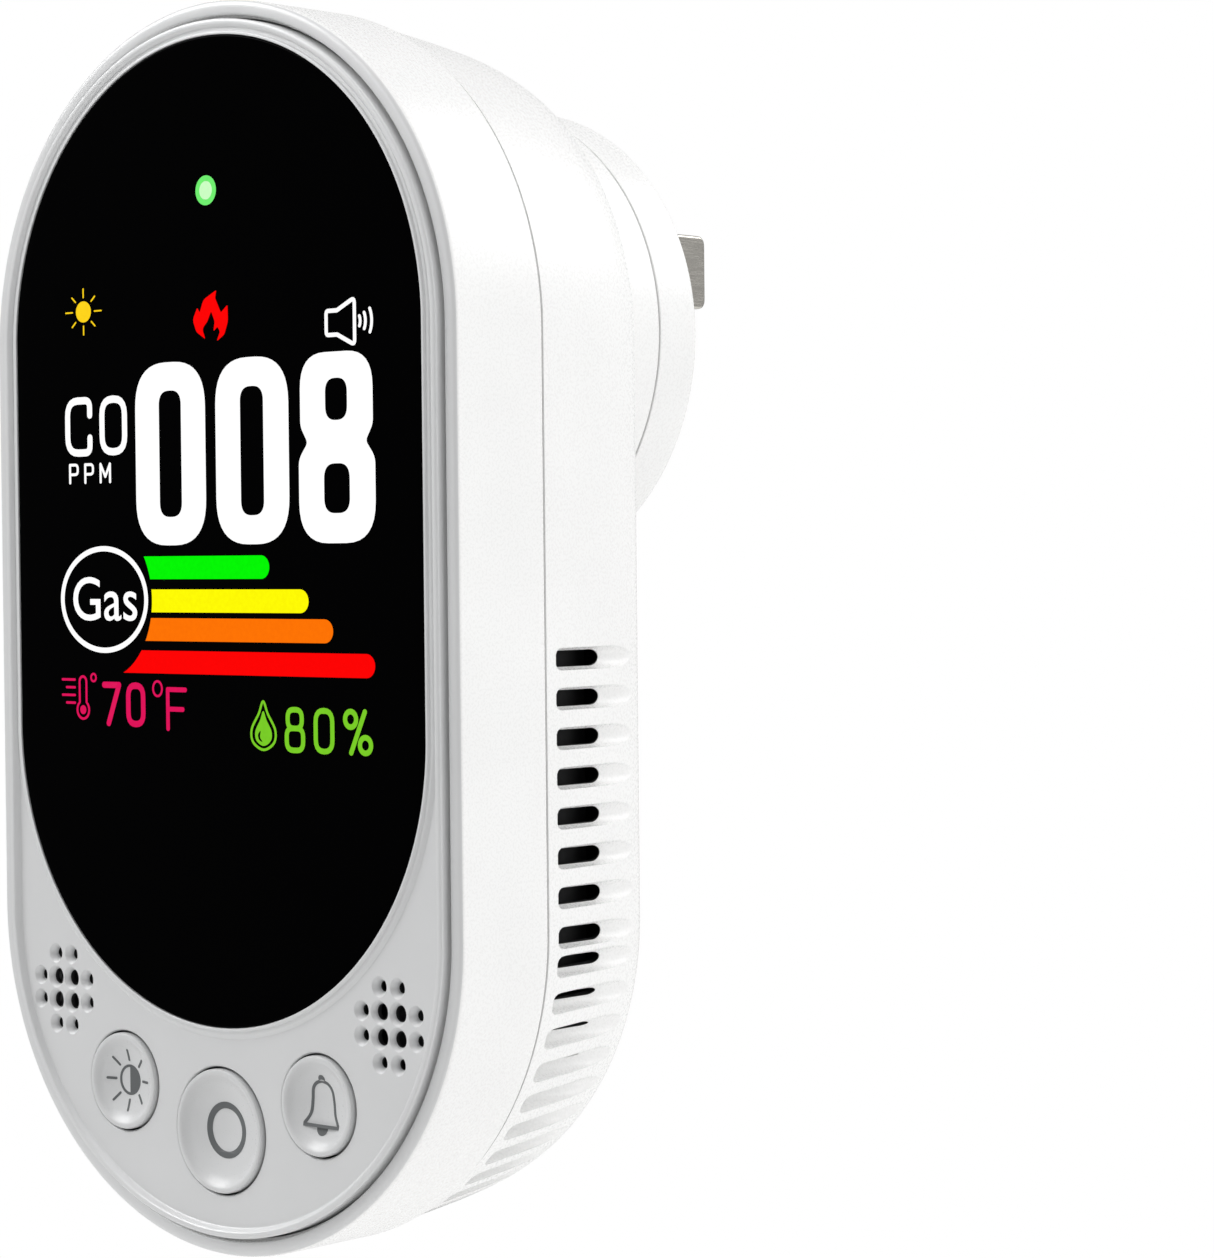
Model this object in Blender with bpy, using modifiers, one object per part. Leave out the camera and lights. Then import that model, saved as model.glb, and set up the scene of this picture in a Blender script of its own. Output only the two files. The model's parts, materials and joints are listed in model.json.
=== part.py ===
"""Plug-in carbon monoxide detector: a capsule-shaped housing with a twist-off plug head.

Frame: the origin is the centre of the plug head's rear face, the face that meets the wall.
+Y points into the wall, the display faces -Y, +Z is up and +X is to the viewer's right.
Sizes below are in millimetres. A depth is measured back from the front rim, a height up from
the middle of the housing, and spot() turns both into metres in the frame above.
"""

from math import cos, pi, radians, sin

import bmesh
import bpy
from mathutils import Matrix, Vector

MM = 0.001

# Housing
RADIUS = 26.0
STRAIGHT = 22.6
RIM = 1.1
WALL = 1.7
GAP = 0.3
SEAM = 9.6
BACK = 23.2
BACK_RADIUS = 23.0
BORDER = 1.85
RECESS = 0.25
SHELF = 3.0
SHELF_THICK = 1.6

# Front panel, lens and display
PANEL_RADIUS = 24.5
PANEL_FRONT = -0.6
PANEL_BACK = 2.6
LENS_RADIUS = 22.95
LENS_TOP = 22.9
LENS_BOTTOM = -7.8
LENS_FRONT = -0.45
LENS_BACK = 1.0
LEDGE = 1.3
WINDOW_RADIUS = 21.6

# Buttons: name, x, height, radius
BUTTONS = (
    ("brightness_button", -11.2, -36.0, 3.75),
    ("power_button", 0.0, -38.9, 4.75),
    ("alarm_button", 10.9, -35.9, 3.75),
)
BUTTON_FRONT = -0.4
BUTTON_FLANGE = 0.6
BUTTON_STEM = 1.5
BUTTON_TRAVEL = 0.8
SWITCH_SIZE = 4.6

# Sound and air grilles in the front panel
GRILLE_X = 18.5
GRILLE_HEIGHT = -29.2
GRILLE_PITCH = 1.9
GRILLE_HOLE = 0.62
GRILLE_PINHOLE = 0.4

# Side vents in the rear shell
VENT_FIRST = -2.25
VENT_PITCH = 3.0
VENT_STRAIGHT = 8
VENT_ARC_STEPS = 28
VENT_HEIGHT = 1.5
VENT_FROM = 11.3
VENT_TO = 17.4

# Plug head and the collar that it turns on
PLUG_HEIGHT = 23.5
PLUG_FACE = 35.5
PLUG_RADIUS = 19.4
PLUG_SPLIT = 30.8
COLLAR_TOP = 30.5
COLLAR_BORE = 17.8
FLANGE_BORE = 15.4
FLANGE_UNDER = 28.9
LUG_OUTER = 17.2
LUG_WIDTH = 6.0
LUG_ANGLES = (90.0, 210.0, 330.0)
OPEN_ANGLE = 30.0
BLADE_WIDTH = 6.35
BLADE_THICK = 1.5
BLADE_SPACING = 12.7
BLADE_LENGTH = 16.0
BLADE_RISE = 6.5
BLADE_TAIL = 27.4
BLADE_HOLE = 1.6
BLADE_HOLE_FROM_TIP = 4.3
CONTACT_WIDTH = 5.0
PLUG_SCREW_SPOT = (8.0, -5.0)

# Release latch below the plug head, sliding away from the plug head's axis
LATCH_ANGLE = -57.0
LATCH_REACH = 21.9
LATCH_RADIUS = 3.2
LATCH_INNER = 17.5
LATCH_STEP = 20.9
LATCH_TOP = 30.35
LATCH_TIP = 24.8
LATCH_FOOT = 4.3
SPRING_DEPTH = 19.8
SPRING_STOP = 32.8
SPRING_RADIUS = 1.1
SPRING_TURNS = 6
SPRING_WIRE = 0.22
WELL_RADIUS = 4.5

# Label recess and the case screws
LABEL_HEIGHT = -23.5
LABEL_RADIUS = 17.0
LABEL_DEEP = 0.5
SCREW_SPOT = (5.3, -34.3)
UPPER_SCREW_SPOT = (0.0, 12.6)
SCREW_HOLE = 2.1
SCREW_WELL_FLOOR = 14.0
SCREW_HEAD = 1.9
SCREW_SHANK = 0.9

# Main board, and the x and height of what it carries
BOARD_FRONT = 8.0
BOARD_THICK = 1.2
BOARD_RADIUS = 22.6
BOARD_SHORTER = 1.5
POST_SPOT = (20.4, -26.2)
SWITCH_TOP = BOARD_FRONT - GAP - 2.1
CHIP_SPOT = (-6.0, 4.0)
HEADER_SPOT = (16.9, 24.0)
CO_SENSOR_SPOT = (-14.2, -11.0)
CO_SENSOR_RADIUS = 6.2
CO_SENSOR_TALL = 10.4
GAS_SENSOR_SPOT = (15.0, -12.0)
GAS_SENSOR_RADIUS = 4.9
GAS_SENSOR_TALL = 8.4
CLIMATE_SPOT = (19.4, -20.6)
BUZZER_SPOT = (-9.5, -29.5)
BUZZER_RADIUS = 9.0
BUZZER_TALL = 9.0
DISPLAY_HEIGHT = 6.5
FLEX_HEIGHT = -18.9
LED_HEIGHT = 34.0

# Mains board, and the x and height of what it carries
POWER_BOARD_FRONT = 18.8
POWER_BOARD_BACK = 20.2
POWER_BOARD_RADIUS = 21.4
POWER_BOARD_END = 15.3
POWER_BOARD_POSTS = ((-17.0, 22.0), (17.0, 22.0), (0.0, 38.0))
TRANSFORMER_SPOT = (7.2, 25.0)
CAPACITOR_SPOT = (-9.5, 31.5)
VARISTOR_SPOT = (-13.0, 18.3)
FUSE_SPOT = (-5.2, 18.9)

ARC_STEPS = 18


def spot(x, depth, height):
    """A point of the housing as metres in the frame."""
    return Vector((x, depth - PLUG_FACE, height - PLUG_HEIGHT)) * MM


def clear_scene():
    for old in list(bpy.data.objects):
        bpy.data.objects.remove(old, do_unlink=True)


def new_collection(name):
    group = bpy.data.collections.new(name)
    bpy.context.scene.collection.children.link(group)
    return group


def material(name, colour, roughness, metallic=0.0):
    made = bpy.data.materials.new(name)
    made.use_nodes = True
    shader = made.node_tree.nodes["Principled BSDF"]
    shader.inputs["Base Color"].default_value = (*colour, 1.0)
    shader.inputs["Roughness"].default_value = roughness
    shader.inputs["Metallic"].default_value = metallic
    return made


def from_bmesh(name, bm):
    """An object in the parts collection from a closed bmesh, shaded smooth between creases."""
    bmesh.ops.remove_doubles(bm, verts=bm.verts, dist=0.00001)
    bmesh.ops.recalc_face_normals(bm, faces=bm.faces)
    mesh = bpy.data.meshes.new(name)
    bm.to_mesh(mesh)
    bm.free()
    mesh.shade_smooth()
    mesh.set_sharp_from_angle(angle=radians(35))
    made = bpy.data.objects.new(name, mesh)
    PARTS.objects.link(made)
    return made


def to_mesh(name, source):
    """A mesh object with the evaluated shape of a curve or of an object with modifiers."""
    bpy.context.view_layer.update()
    shape = bpy.data.meshes.new_from_object(source.evaluated_get(bpy.context.evaluated_depsgraph_get()))
    bm = bmesh.new()
    bm.from_mesh(shape)
    bmesh.ops.transform(bm, matrix=source.matrix_world, verts=bm.verts)
    bpy.data.objects.remove(source, do_unlink=True)
    return from_bmesh(name, bm)


def arc(x, height, radius, start, end, steps=ARC_STEPS):
    """Points along an arc, with angles in degrees from +X towards +Z."""
    turn = radians(end - start) / steps
    return [
        (x + radius * cos(radians(start) + turn * i), height + radius * sin(radians(start) + turn * i))
        for i in range(steps + 1)
    ]


def circle(x, height, radius, steps=ARC_STEPS):
    return arc(x, height, radius, 0, 360, steps)[:-1]


def capsule(radius, top=STRAIGHT, bottom=-STRAIGHT):
    return arc(0, top, radius, 0, 180) + arc(0, bottom, radius, 180, 360)


def rounded(x, height, width, tall, radius):
    """A rectangle outline with rounded corners."""
    dx, dz = width / 2 - radius, tall / 2 - radius
    corners = ((dx, dz, 0), (-dx, dz, 90), (-dx, -dz, 180), (dx, -dz, 270))
    return [p for cx, cz, a in corners for p in arc(x + cx, height + cz, radius, a, a + 90, 4)]


def plate(name, outlines, front, back):
    """A flat piece facing -Y: the first outline is its edge and the others are holes through it."""
    curve = bpy.data.curves.new(name, "CURVE")
    curve.dimensions = "2D"
    curve.fill_mode = "BOTH"
    curve.extrude = (back - front) / 2 * MM
    for outline in outlines:
        spline = curve.splines.new("POLY")
        spline.points.add(len(outline) - 1)
        spline.use_cyclic_u = True
        for point, (x, z) in zip(spline.points, outline):
            point.co = (x * MM, z * MM, 0, 1)
    flat = bpy.data.objects.new(name, curve)
    flat.matrix_world = Matrix.Translation(spot(0, (front + back) / 2, 0)) @ Matrix.Rotation(pi / 2, 4, "X")
    PARTS.objects.link(flat)
    return to_mesh(name, flat)


def loft(name, profile, looped=False):
    """Capsule-shaped rings of (radius, depth), joined in order, with both ends filled or joined up."""
    bm = bmesh.new()
    rings = [[bm.verts.new(spot(x, depth, z)) for x, z in capsule(r)] for r, depth in profile]
    pairs = list(zip(rings, rings[1:]))
    if looped:
        pairs.append((rings[-1], rings[0]))
    for low, high in pairs:
        for i, vert in enumerate(low):
            j = (i + 1) % len(low)
            bm.faces.new((vert, low[j], high[j], high[i]))
    if not looped:
        bm.faces.new(rings[0])
        bm.faces.new(rings[-1])
    return from_bmesh(name, bm)


def turned(name, profile, x, height, steps=24):
    """A closed (radius, depth) profile turned about a line along Y."""
    bm = bmesh.new()
    verts = [bm.verts.new((radius * MM, depth * MM, 0)) for radius, depth in profile]
    for i, vert in enumerate(verts):
        if profile[i][0] or profile[i - 1][0]:
            bm.edges.new((verts[i - 1], vert))
    mesh = bpy.data.meshes.new(name)
    bm.to_mesh(mesh)
    bm.free()
    lathe = bpy.data.objects.new(name, mesh)
    lathe.location = spot(x, 0, height)
    PARTS.objects.link(lathe)
    screw = lathe.modifiers.new("turn", "SCREW")
    screw.axis = "Y"
    screw.steps = steps
    screw.render_steps = steps
    screw.use_merge_vertices = True
    screw.merge_threshold = 0.00001
    return to_mesh(name, lathe)


def rod(name, x, height, radius, front, back, steps=ARC_STEPS):
    """A cylinder along Y."""
    bm = bmesh.new()
    bmesh.ops.create_cone(
        bm,
        cap_ends=True,
        segments=steps,
        radius1=radius * MM,
        radius2=radius * MM,
        depth=(back - front) * MM,
    )
    turn = Matrix.Translation(spot(x, (front + back) / 2, height)) @ Matrix.Rotation(pi / 2, 4, "X")
    bmesh.ops.transform(bm, matrix=turn, verts=bm.verts)
    return from_bmesh(name, bm)


def block(name, x, depth, height, size, roll=0.0):
    """A box centred on a point, turned about Y by roll degrees from +X towards +Z."""
    bm = bmesh.new()
    bmesh.ops.create_cube(bm, size=1)
    bmesh.ops.scale(bm, vec=Vector(size) * MM, verts=bm.verts)
    turn = Matrix.Translation(spot(x, depth, height)) @ Matrix.Rotation(-radians(roll), 4, "Y")
    bmesh.ops.transform(bm, matrix=turn, verts=bm.verts)
    return from_bmesh(name, bm)


def along(angle, reach, across=0.0):
    """The x and height at a reach from the plug head's axis, in a direction and off to its side."""
    a = radians(angle)
    return reach * cos(a) - across * sin(a), PLUG_HEIGHT + reach * sin(a) + across * cos(a)


def combine(target, tool, operation):
    """A Boolean of the target with a tool, which moves to the cutters collection."""
    PARTS.objects.unlink(tool)
    CUTTERS.objects.link(tool)
    tool.hide_render = True
    tool.display_type = "WIRE"
    step = target.modifiers.new(tool.name, "BOOLEAN")
    step.operation = operation
    step.solver = "EXACT"
    step.object = tool


def cut(target, *tools):
    for tool in tools:
        combine(target, tool, "DIFFERENCE")


def add(target, *tools):
    for tool in tools:
        combine(target, tool, "UNION")


def merged(name, pieces):
    """One cutter made of pieces that don't touch each other."""
    bm = bmesh.new()
    for piece in pieces:
        bm.from_mesh(piece.data)
        bpy.data.objects.remove(piece, do_unlink=True)
    return from_bmesh(name, bm)


def set_origin(piece, point):
    """Moves a piece's origin to a point without moving the piece."""
    piece.data.transform(Matrix.Translation(-point))
    piece.location = point


def pivot(name, point, pieces):
    """An empty on a joint's axis that carries the pieces which move on that joint."""
    empty = bpy.data.objects.new(name, None)
    empty.location = point
    empty.empty_display_size = 5 * MM
    PARTS.objects.link(empty)
    for piece in pieces:
        set_origin(piece, point)
        for modifier in piece.modifiers:
            set_origin(modifier.object, point)
            modifier.object.parent = empty
            modifier.object.location = (0, 0, 0)
        piece.parent = empty
        piece.location = (0, 0, 0)


def paint(colour, *pieces):
    for piece in pieces:
        piece.data.materials.clear()
        piece.data.materials.append(colour)


def front_shell():
    """The front half of the case: a rim, a side wall and the shelf that the panel rests on."""
    inner = RADIUS - WALL
    shelf = inner - 1.0
    profile = (
        (RADIUS - RIM, 0),
        (RADIUS - 0.4, 0),
        (RADIUS, 0.4),
        (RADIUS, SEAM - GAP / 2),
        (inner, SEAM - GAP / 2),
        (inner, SHELF + SHELF_THICK),
        (shelf, SHELF + SHELF_THICK),
        (shelf, SHELF),
        (RADIUS - RIM, SHELF),
    )
    shell = loft("front_shell", profile, looped=True)
    for side in (-1, 1):
        x, z = side * POST_SPOT[0], POST_SPOT[1]
        post = rod("board_post", x, z, 1.9, SHELF + 1.2, BOARD_FRONT - GAP)
        bore = rod("board_post_bore", x, z, 0.9, SHELF + 2.2, BOARD_FRONT + 1)
        middle = (SHELF + BOARD_FRONT) / 2 + 0.4
        rib = block("board_post_rib", x + side * 2.5, middle, z, (3.0, 3.4, 1.6))
        add(shell, post, rib)
        cut(shell, bore)
    paint(WHITE, shell)
    return shell


def vent_slots():
    """Slots down both sides of the rear shell and all round its lower end."""
    middle = (VENT_FROM + VENT_TO) / 2
    size = (6, VENT_TO - VENT_FROM, VENT_HEIGHT)
    slots = []
    for i in range(VENT_STRAIGHT):
        for side in (-1, 1):
            height = VENT_FIRST - VENT_PITCH * i
            slots.append(block("vent", side * (RADIUS - 1.5), middle, height, size))
    for i in range(1, VENT_ARC_STEPS):
        angle = -180 / VENT_ARC_STEPS * i
        x, z = arc(0, -STRAIGHT, RADIUS - 1.5, angle, angle, 1)[0]
        slots.append(block("vent", x, middle, z, size, angle))
    return merged("vent_slots", slots)


def rear_shell():
    """The rear half of the case, with the collar for the plug head, the vents and the latch well."""
    outer = (
        (BACK_RADIUS, BACK),
        (23.8, 22.3),
        (24.4, 20.3),
        (24.9, 17.0),
        (25.35, 12.8),
        (25.6, SEAM + GAP / 2),
    )
    inner = [(r - WALL, min(depth, BACK - WALL)) for r, depth in reversed(outer[1:])]
    lip_outer, lip_inner, lip_front = RADIUS - WALL - GAP, 22.9, SEAM - 1.4
    lip = (
        (lip_outer, SEAM + GAP / 2),
        (lip_outer, lip_front),
        (lip_inner, lip_front),
        (lip_inner, 12.0),
    )
    shell = loft("rear_shell", (*outer, *lip, *inner[1:]))
    cut(shell, plate("border_recess", [capsule(BACK_RADIUS - BORDER)], BACK - RECESS, BACK + 3))
    collar = (
        (PLUG_RADIUS, BACK - 0.6),
        (PLUG_RADIUS, COLLAR_TOP),
        (FLANGE_BORE, COLLAR_TOP),
        (FLANGE_BORE, FLANGE_UNDER),
        (COLLAR_BORE, FLANGE_UNDER),
        (COLLAR_BORE, BACK - 0.6),
    )
    add(shell, turned("collar", collar, 0, PLUG_HEIGHT, 44))
    post = rod("screw_post", *SCREW_SPOT, 3.4, BOARD_FRONT + BOARD_THICK + GAP, BACK - 1.0)
    add(shell, post)
    cut(shell, rod("label_recess", 0, LABEL_HEIGHT, LABEL_RADIUS, BACK - RECESS - LABEL_DEEP, BACK + 1, 44))
    cut(shell, rod("screw_well", *SCREW_SPOT, SCREW_HOLE, SCREW_WELL_FLOOR, BACK + 1))
    shank_hole = SCREW_SHANK + GAP
    cut(shell, rod("screw_shank_hole", *SCREW_SPOT, shank_hole, BOARD_FRONT, SCREW_WELL_FLOOR + 1, 16))
    cut(shell, rod("upper_screw_hole", *UPPER_SCREW_SPOT, shank_hole, BACK - 3, BACK + 1, 16))
    cut(shell, vent_slots())
    x, z = along(LATCH_ANGLE, LATCH_REACH)
    cut(shell, rod("latch_well", x, z, WELL_RADIUS, BACK - 3, BACK + 0.8, 32))
    x, z = along(LATCH_ANGLE, LATCH_REACH / 2 + 8)
    notch = (LATCH_REACH - 16, COLLAR_TOP - BACK + 4, 2 * LATCH_RADIUS + 0.6)
    cut(shell, block("latch_notch", x, (COLLAR_TOP + BACK) / 2, z, notch, LATCH_ANGLE))
    for angle in LUG_ANGLES:
        x, z = along(angle - OPEN_ANGLE, (FLANGE_BORE + LUG_OUTER) / 2)
        size = (LUG_OUTER - FLANGE_BORE + 0.8, 3.0, LUG_WIDTH + 1.0)
        cut(shell, block("lug_slot", x, (COLLAR_TOP + FLANGE_UNDER) / 2, z, size, angle - OPEN_ANGLE))
    x, z = along(LATCH_ANGLE, SPRING_STOP)
    add(shell, block("spring_stop", x, BACK - 3.3, z, (1.2, 4.6, 5.0), LATCH_ANGLE))
    for x, z in POWER_BOARD_POSTS:
        add(shell, rod("power_board_post", x, z, 1.6, POWER_BOARD_BACK + GAP, BACK - 1.0, 12))
    for side in (-1, 1):
        x, z = side * BLADE_SPACING / 2, PLUG_HEIGHT + BLADE_RISE
        cut(shell, block("contact_slot", x, BACK - 1, z, (5.0, 4.0, 9.0)))
    paint(WHITE, shell)
    return shell


def grille_spots():
    """The holes of one grille: a square grid without its corners, as offset x, offset height, inner."""
    steps = (-1.5, -0.5, 0.5, 1.5)
    for i in steps:
        for j in steps:
            if abs(i) + abs(j) < 3:
                yield i * GRILLE_PITCH, j * GRILLE_PITCH, abs(i) + abs(j) < 2


def front_panel():
    """The grey bezel with the lens recess, the display window, the button holes and the grilles."""
    window = capsule(WINDOW_RADIUS, LENS_TOP, LENS_BOTTOM)
    holes = [circle(x, z, radius + GAP) for _, x, z, radius in BUTTONS]
    panel = plate("front_panel", [capsule(PANEL_RADIUS), window, *holes], PANEL_FRONT, PANEL_BACK)
    pins = []
    for side in (-1, 1):
        for dx, dz, inner in grille_spots():
            radius = GRILLE_HOLE if inner else GRILLE_PINHOLE
            x, z = side * GRILLE_X + dx, GRILLE_HEIGHT + dz
            pins.append(rod("grille_pin", x, z, radius, PANEL_FRONT - 1, PANEL_BACK + 1, 8))
    cut(panel, merged("grille_pins", pins))
    lens_seat = capsule(LENS_RADIUS + 0.25, LENS_TOP, LENS_BOTTOM)
    cut(panel, plate("lens_seat", [lens_seat], PANEL_FRONT - 1, LEDGE))
    paint(GREY, panel)
    return panel


def display():
    """The lens, the display module behind it, its backlight and the flex to the board."""
    lens = plate("display_lens", [capsule(LENS_RADIUS, LENS_TOP, LENS_BOTTOM)], LENS_FRONT, LENS_BACK)
    module = plate("lcd_module", [rounded(0, DISPLAY_HEIGHT, 38, 48, 0.8)], LENS_BACK + 0.35, 3.1)
    light = plate("lcd_backlight", [rounded(0, DISPLAY_HEIGHT, 39, 50, 1.2)], 3.4, 6.4)
    flex = plate("lcd_flex", [rounded(0, FLEX_HEIGHT, 22, 0.5, 0.1)], 1.6, BOARD_FRONT - GAP)
    led = rod("status_led", 0, LED_HEIGHT, 1.5, 1.4, BOARD_FRONT - GAP, 16)
    paint(BLACK_GLASS, lens)
    paint(GLASS, module)
    paint(DIFFUSER, light, led)
    paint(AMBER, flex)


def buttons():
    """Three dished buttons, each with a flange behind the panel and a stem over its switch."""
    for name, x, z, radius in BUTTONS:
        dish = radius * 0.12
        back = PANEL_BACK + GAP + 1.0
        end = SWITCH_TOP - BUTTON_TRAVEL - 0.05
        profile = (
            (0, BUTTON_FRONT + dish),
            (radius * 0.55, BUTTON_FRONT + dish * 0.6),
            (radius - 0.3, BUTTON_FRONT),
            (radius, BUTTON_FRONT + 0.3),
            (radius, PANEL_BACK + GAP),
            (radius + BUTTON_FLANGE, PANEL_BACK + GAP),
            (radius + BUTTON_FLANGE, back),
            (BUTTON_STEM, back),
            (BUTTON_STEM, end),
            (0, end),
        )
        cap = turned(name, profile, x, z, 20)
        paint(LIGHT_GREY, cap)
        pivot(name + "_axis", spot(x, BUTTON_FRONT, z), [cap])
        switch = block("switch_" + name, x, BOARD_FRONT - GAP - 0.8, z, (SWITCH_SIZE, 1.6, SWITCH_SIZE))
        add(switch, rod("plunger_" + name, x, z, 1.1, SWITCH_TOP, BOARD_FRONT - GAP - 0.6, 16))
        paint(BLACK, switch)
        switch.name = name.replace("_button", "_switch")


def main_board():
    """The board behind the display, with the controller, the sensors and the buzzer on its back."""
    outline = capsule(BOARD_RADIUS, STRAIGHT - BOARD_SHORTER, BOARD_SHORTER - STRAIGHT)
    holes = [circle(side * POST_SPOT[0], POST_SPOT[1], SCREW_SHANK + GAP, 12) for side in (-1, 1)]
    holes.append(circle(*SCREW_SPOT, SCREW_SHANK + 0.7, 12))
    board = plate("main_board", [outline, *holes], BOARD_FRONT, BOARD_FRONT + BOARD_THICK)
    face = BOARD_FRONT + BOARD_THICK + GAP
    chip = block("controller_chip", CHIP_SPOT[0], face + 0.8, CHIP_SPOT[1], (9, 1.6, 9))
    reach = POWER_BOARD_FRONT - GAP - face
    header = block("board_header", HEADER_SPOT[0], face + reach / 2, HEADER_SPOT[1], (5, reach, 10))
    climate = block("climate_sensor", CLIMATE_SPOT[0], face + 1.1, CLIMATE_SPOT[1], (3.4, 2.2, 5.2))
    co_profile = (
        (0, face),
        (CO_SENSOR_RADIUS, face),
        (CO_SENSOR_RADIUS, face + CO_SENSOR_TALL - 1.8),
        (CO_SENSOR_RADIUS - 1.6, face + CO_SENSOR_TALL - 1.2),
        (CO_SENSOR_RADIUS - 1.6, face + CO_SENSOR_TALL),
        (0, face + CO_SENSOR_TALL),
    )
    gas_profile = (
        (0, face),
        (GAS_SENSOR_RADIUS, face),
        (GAS_SENSOR_RADIUS, face + 1.4),
        (GAS_SENSOR_RADIUS - 0.6, face + 1.4),
        (GAS_SENSOR_RADIUS - 0.6, face + GAS_SENSOR_TALL),
        (0, face + GAS_SENSOR_TALL),
    )
    buzzer_profile = (
        (2.0, face + BUZZER_TALL),
        (BUZZER_RADIUS - 0.4, face + BUZZER_TALL),
        (BUZZER_RADIUS, face + BUZZER_TALL - 0.4),
        (BUZZER_RADIUS, face),
        (0, face),
        (0, face + BUZZER_TALL - 1.4),
        (2.0, face + BUZZER_TALL - 1.4),
    )
    co_sensor = turned("co_sensor", co_profile, *CO_SENSOR_SPOT, 24)
    gas_sensor = turned("gas_sensor", gas_profile, *GAS_SENSOR_SPOT, 20)
    buzzer = turned("buzzer", buzzer_profile, *BUZZER_SPOT, 28)
    paint(MASK, board)
    paint(BLACK, chip, header, buzzer)
    paint(STEEL, co_sensor, gas_sensor)
    paint(LIGHT_GREY, climate)
    for side, word in ((-1, "left"), (1, "right")):
        screw("board_screw_" + word, side * POST_SPOT[0], POST_SPOT[1], face, 1.7, 4.0, 0.7)
        front = PANEL_BACK + GAP
        mesh = rod("grille_mesh_" + word, side * GRILLE_X, GRILLE_HEIGHT, 3.5, front, front + 0.4)
        paint(BLACK, mesh)


def power_board():
    """The mains board behind the plug head, with its supply parts on the front and its contacts."""
    corners = [(-POWER_BOARD_RADIUS, POWER_BOARD_END), (POWER_BOARD_RADIUS, POWER_BOARD_END)]
    outline = arc(0, STRAIGHT - BOARD_SHORTER, POWER_BOARD_RADIUS, 0, 180) + corners
    board = plate("power_board", [outline], POWER_BOARD_FRONT, POWER_BOARD_BACK)
    face = POWER_BOARD_FRONT - GAP
    x, z = TRANSFORMER_SPOT
    transformer = block("transformer", x, face - 4.2, z, (13, 8.4, 14))
    add(transformer, block("transformer_core", x, face - 4.4, z, (10, 8.0, 17)))
    capacitor = rod("filter_capacitor", *CAPACITOR_SPOT, 4.0, face - 9.0, face)
    varistor = plate("surge_varistor", [rounded(*VARISTOR_SPOT, 8.0, 3.2, 1.2)], face - 8.0, face)
    fuse = rod("input_fuse", *FUSE_SPOT, 2.4, face - 7.5, face, 16)
    paint(MASK, board)
    paint(YELLOW, transformer)
    paint(BLACK, capacitor)
    paint(BLUE, varistor)
    paint(MASK, fuse)
    for side, word in ((-1, "left"), (1, "right")):
        x = side * BLADE_SPACING / 2
        z = PLUG_HEIGHT + BLADE_RISE
        foot, top = POWER_BOARD_BACK + GAP, BLADE_TAIL - 0.4
        contact = block("contact_" + word, x, (foot + top) / 2, z, (1.2, top - foot, CONTACT_WIDTH - 0.6))
        pad = block("contact_pad_" + word, x, top - 0.4, z, (2.8, 0.8, CONTACT_WIDTH))
        add(contact, pad)
        paint(BRASS, contact)


def screw(name, x, height, seat, head, length, shank):
    """A pan-head screw driven towards the front, its head's underside on the seat depth."""
    profile = (
        (0, seat + 1.4),
        (head * 0.7, seat + 1.4),
        (head, seat + 0.8),
        (head, seat),
        (shank, seat),
        (shank, seat - length + 0.6),
        (0, seat - length),
    )
    made = turned(name, profile, x, height, 12)
    cross = head * 1.1
    cut(made, block(name + "_slot_a", x, seat + 1.4, height, (cross, 1.2, 0.45)))
    cut(made, block(name + "_slot_b", x, seat + 1.4, height, (0.45, 1.2, cross)))
    paint(STEEL, made)
    return made


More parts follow.
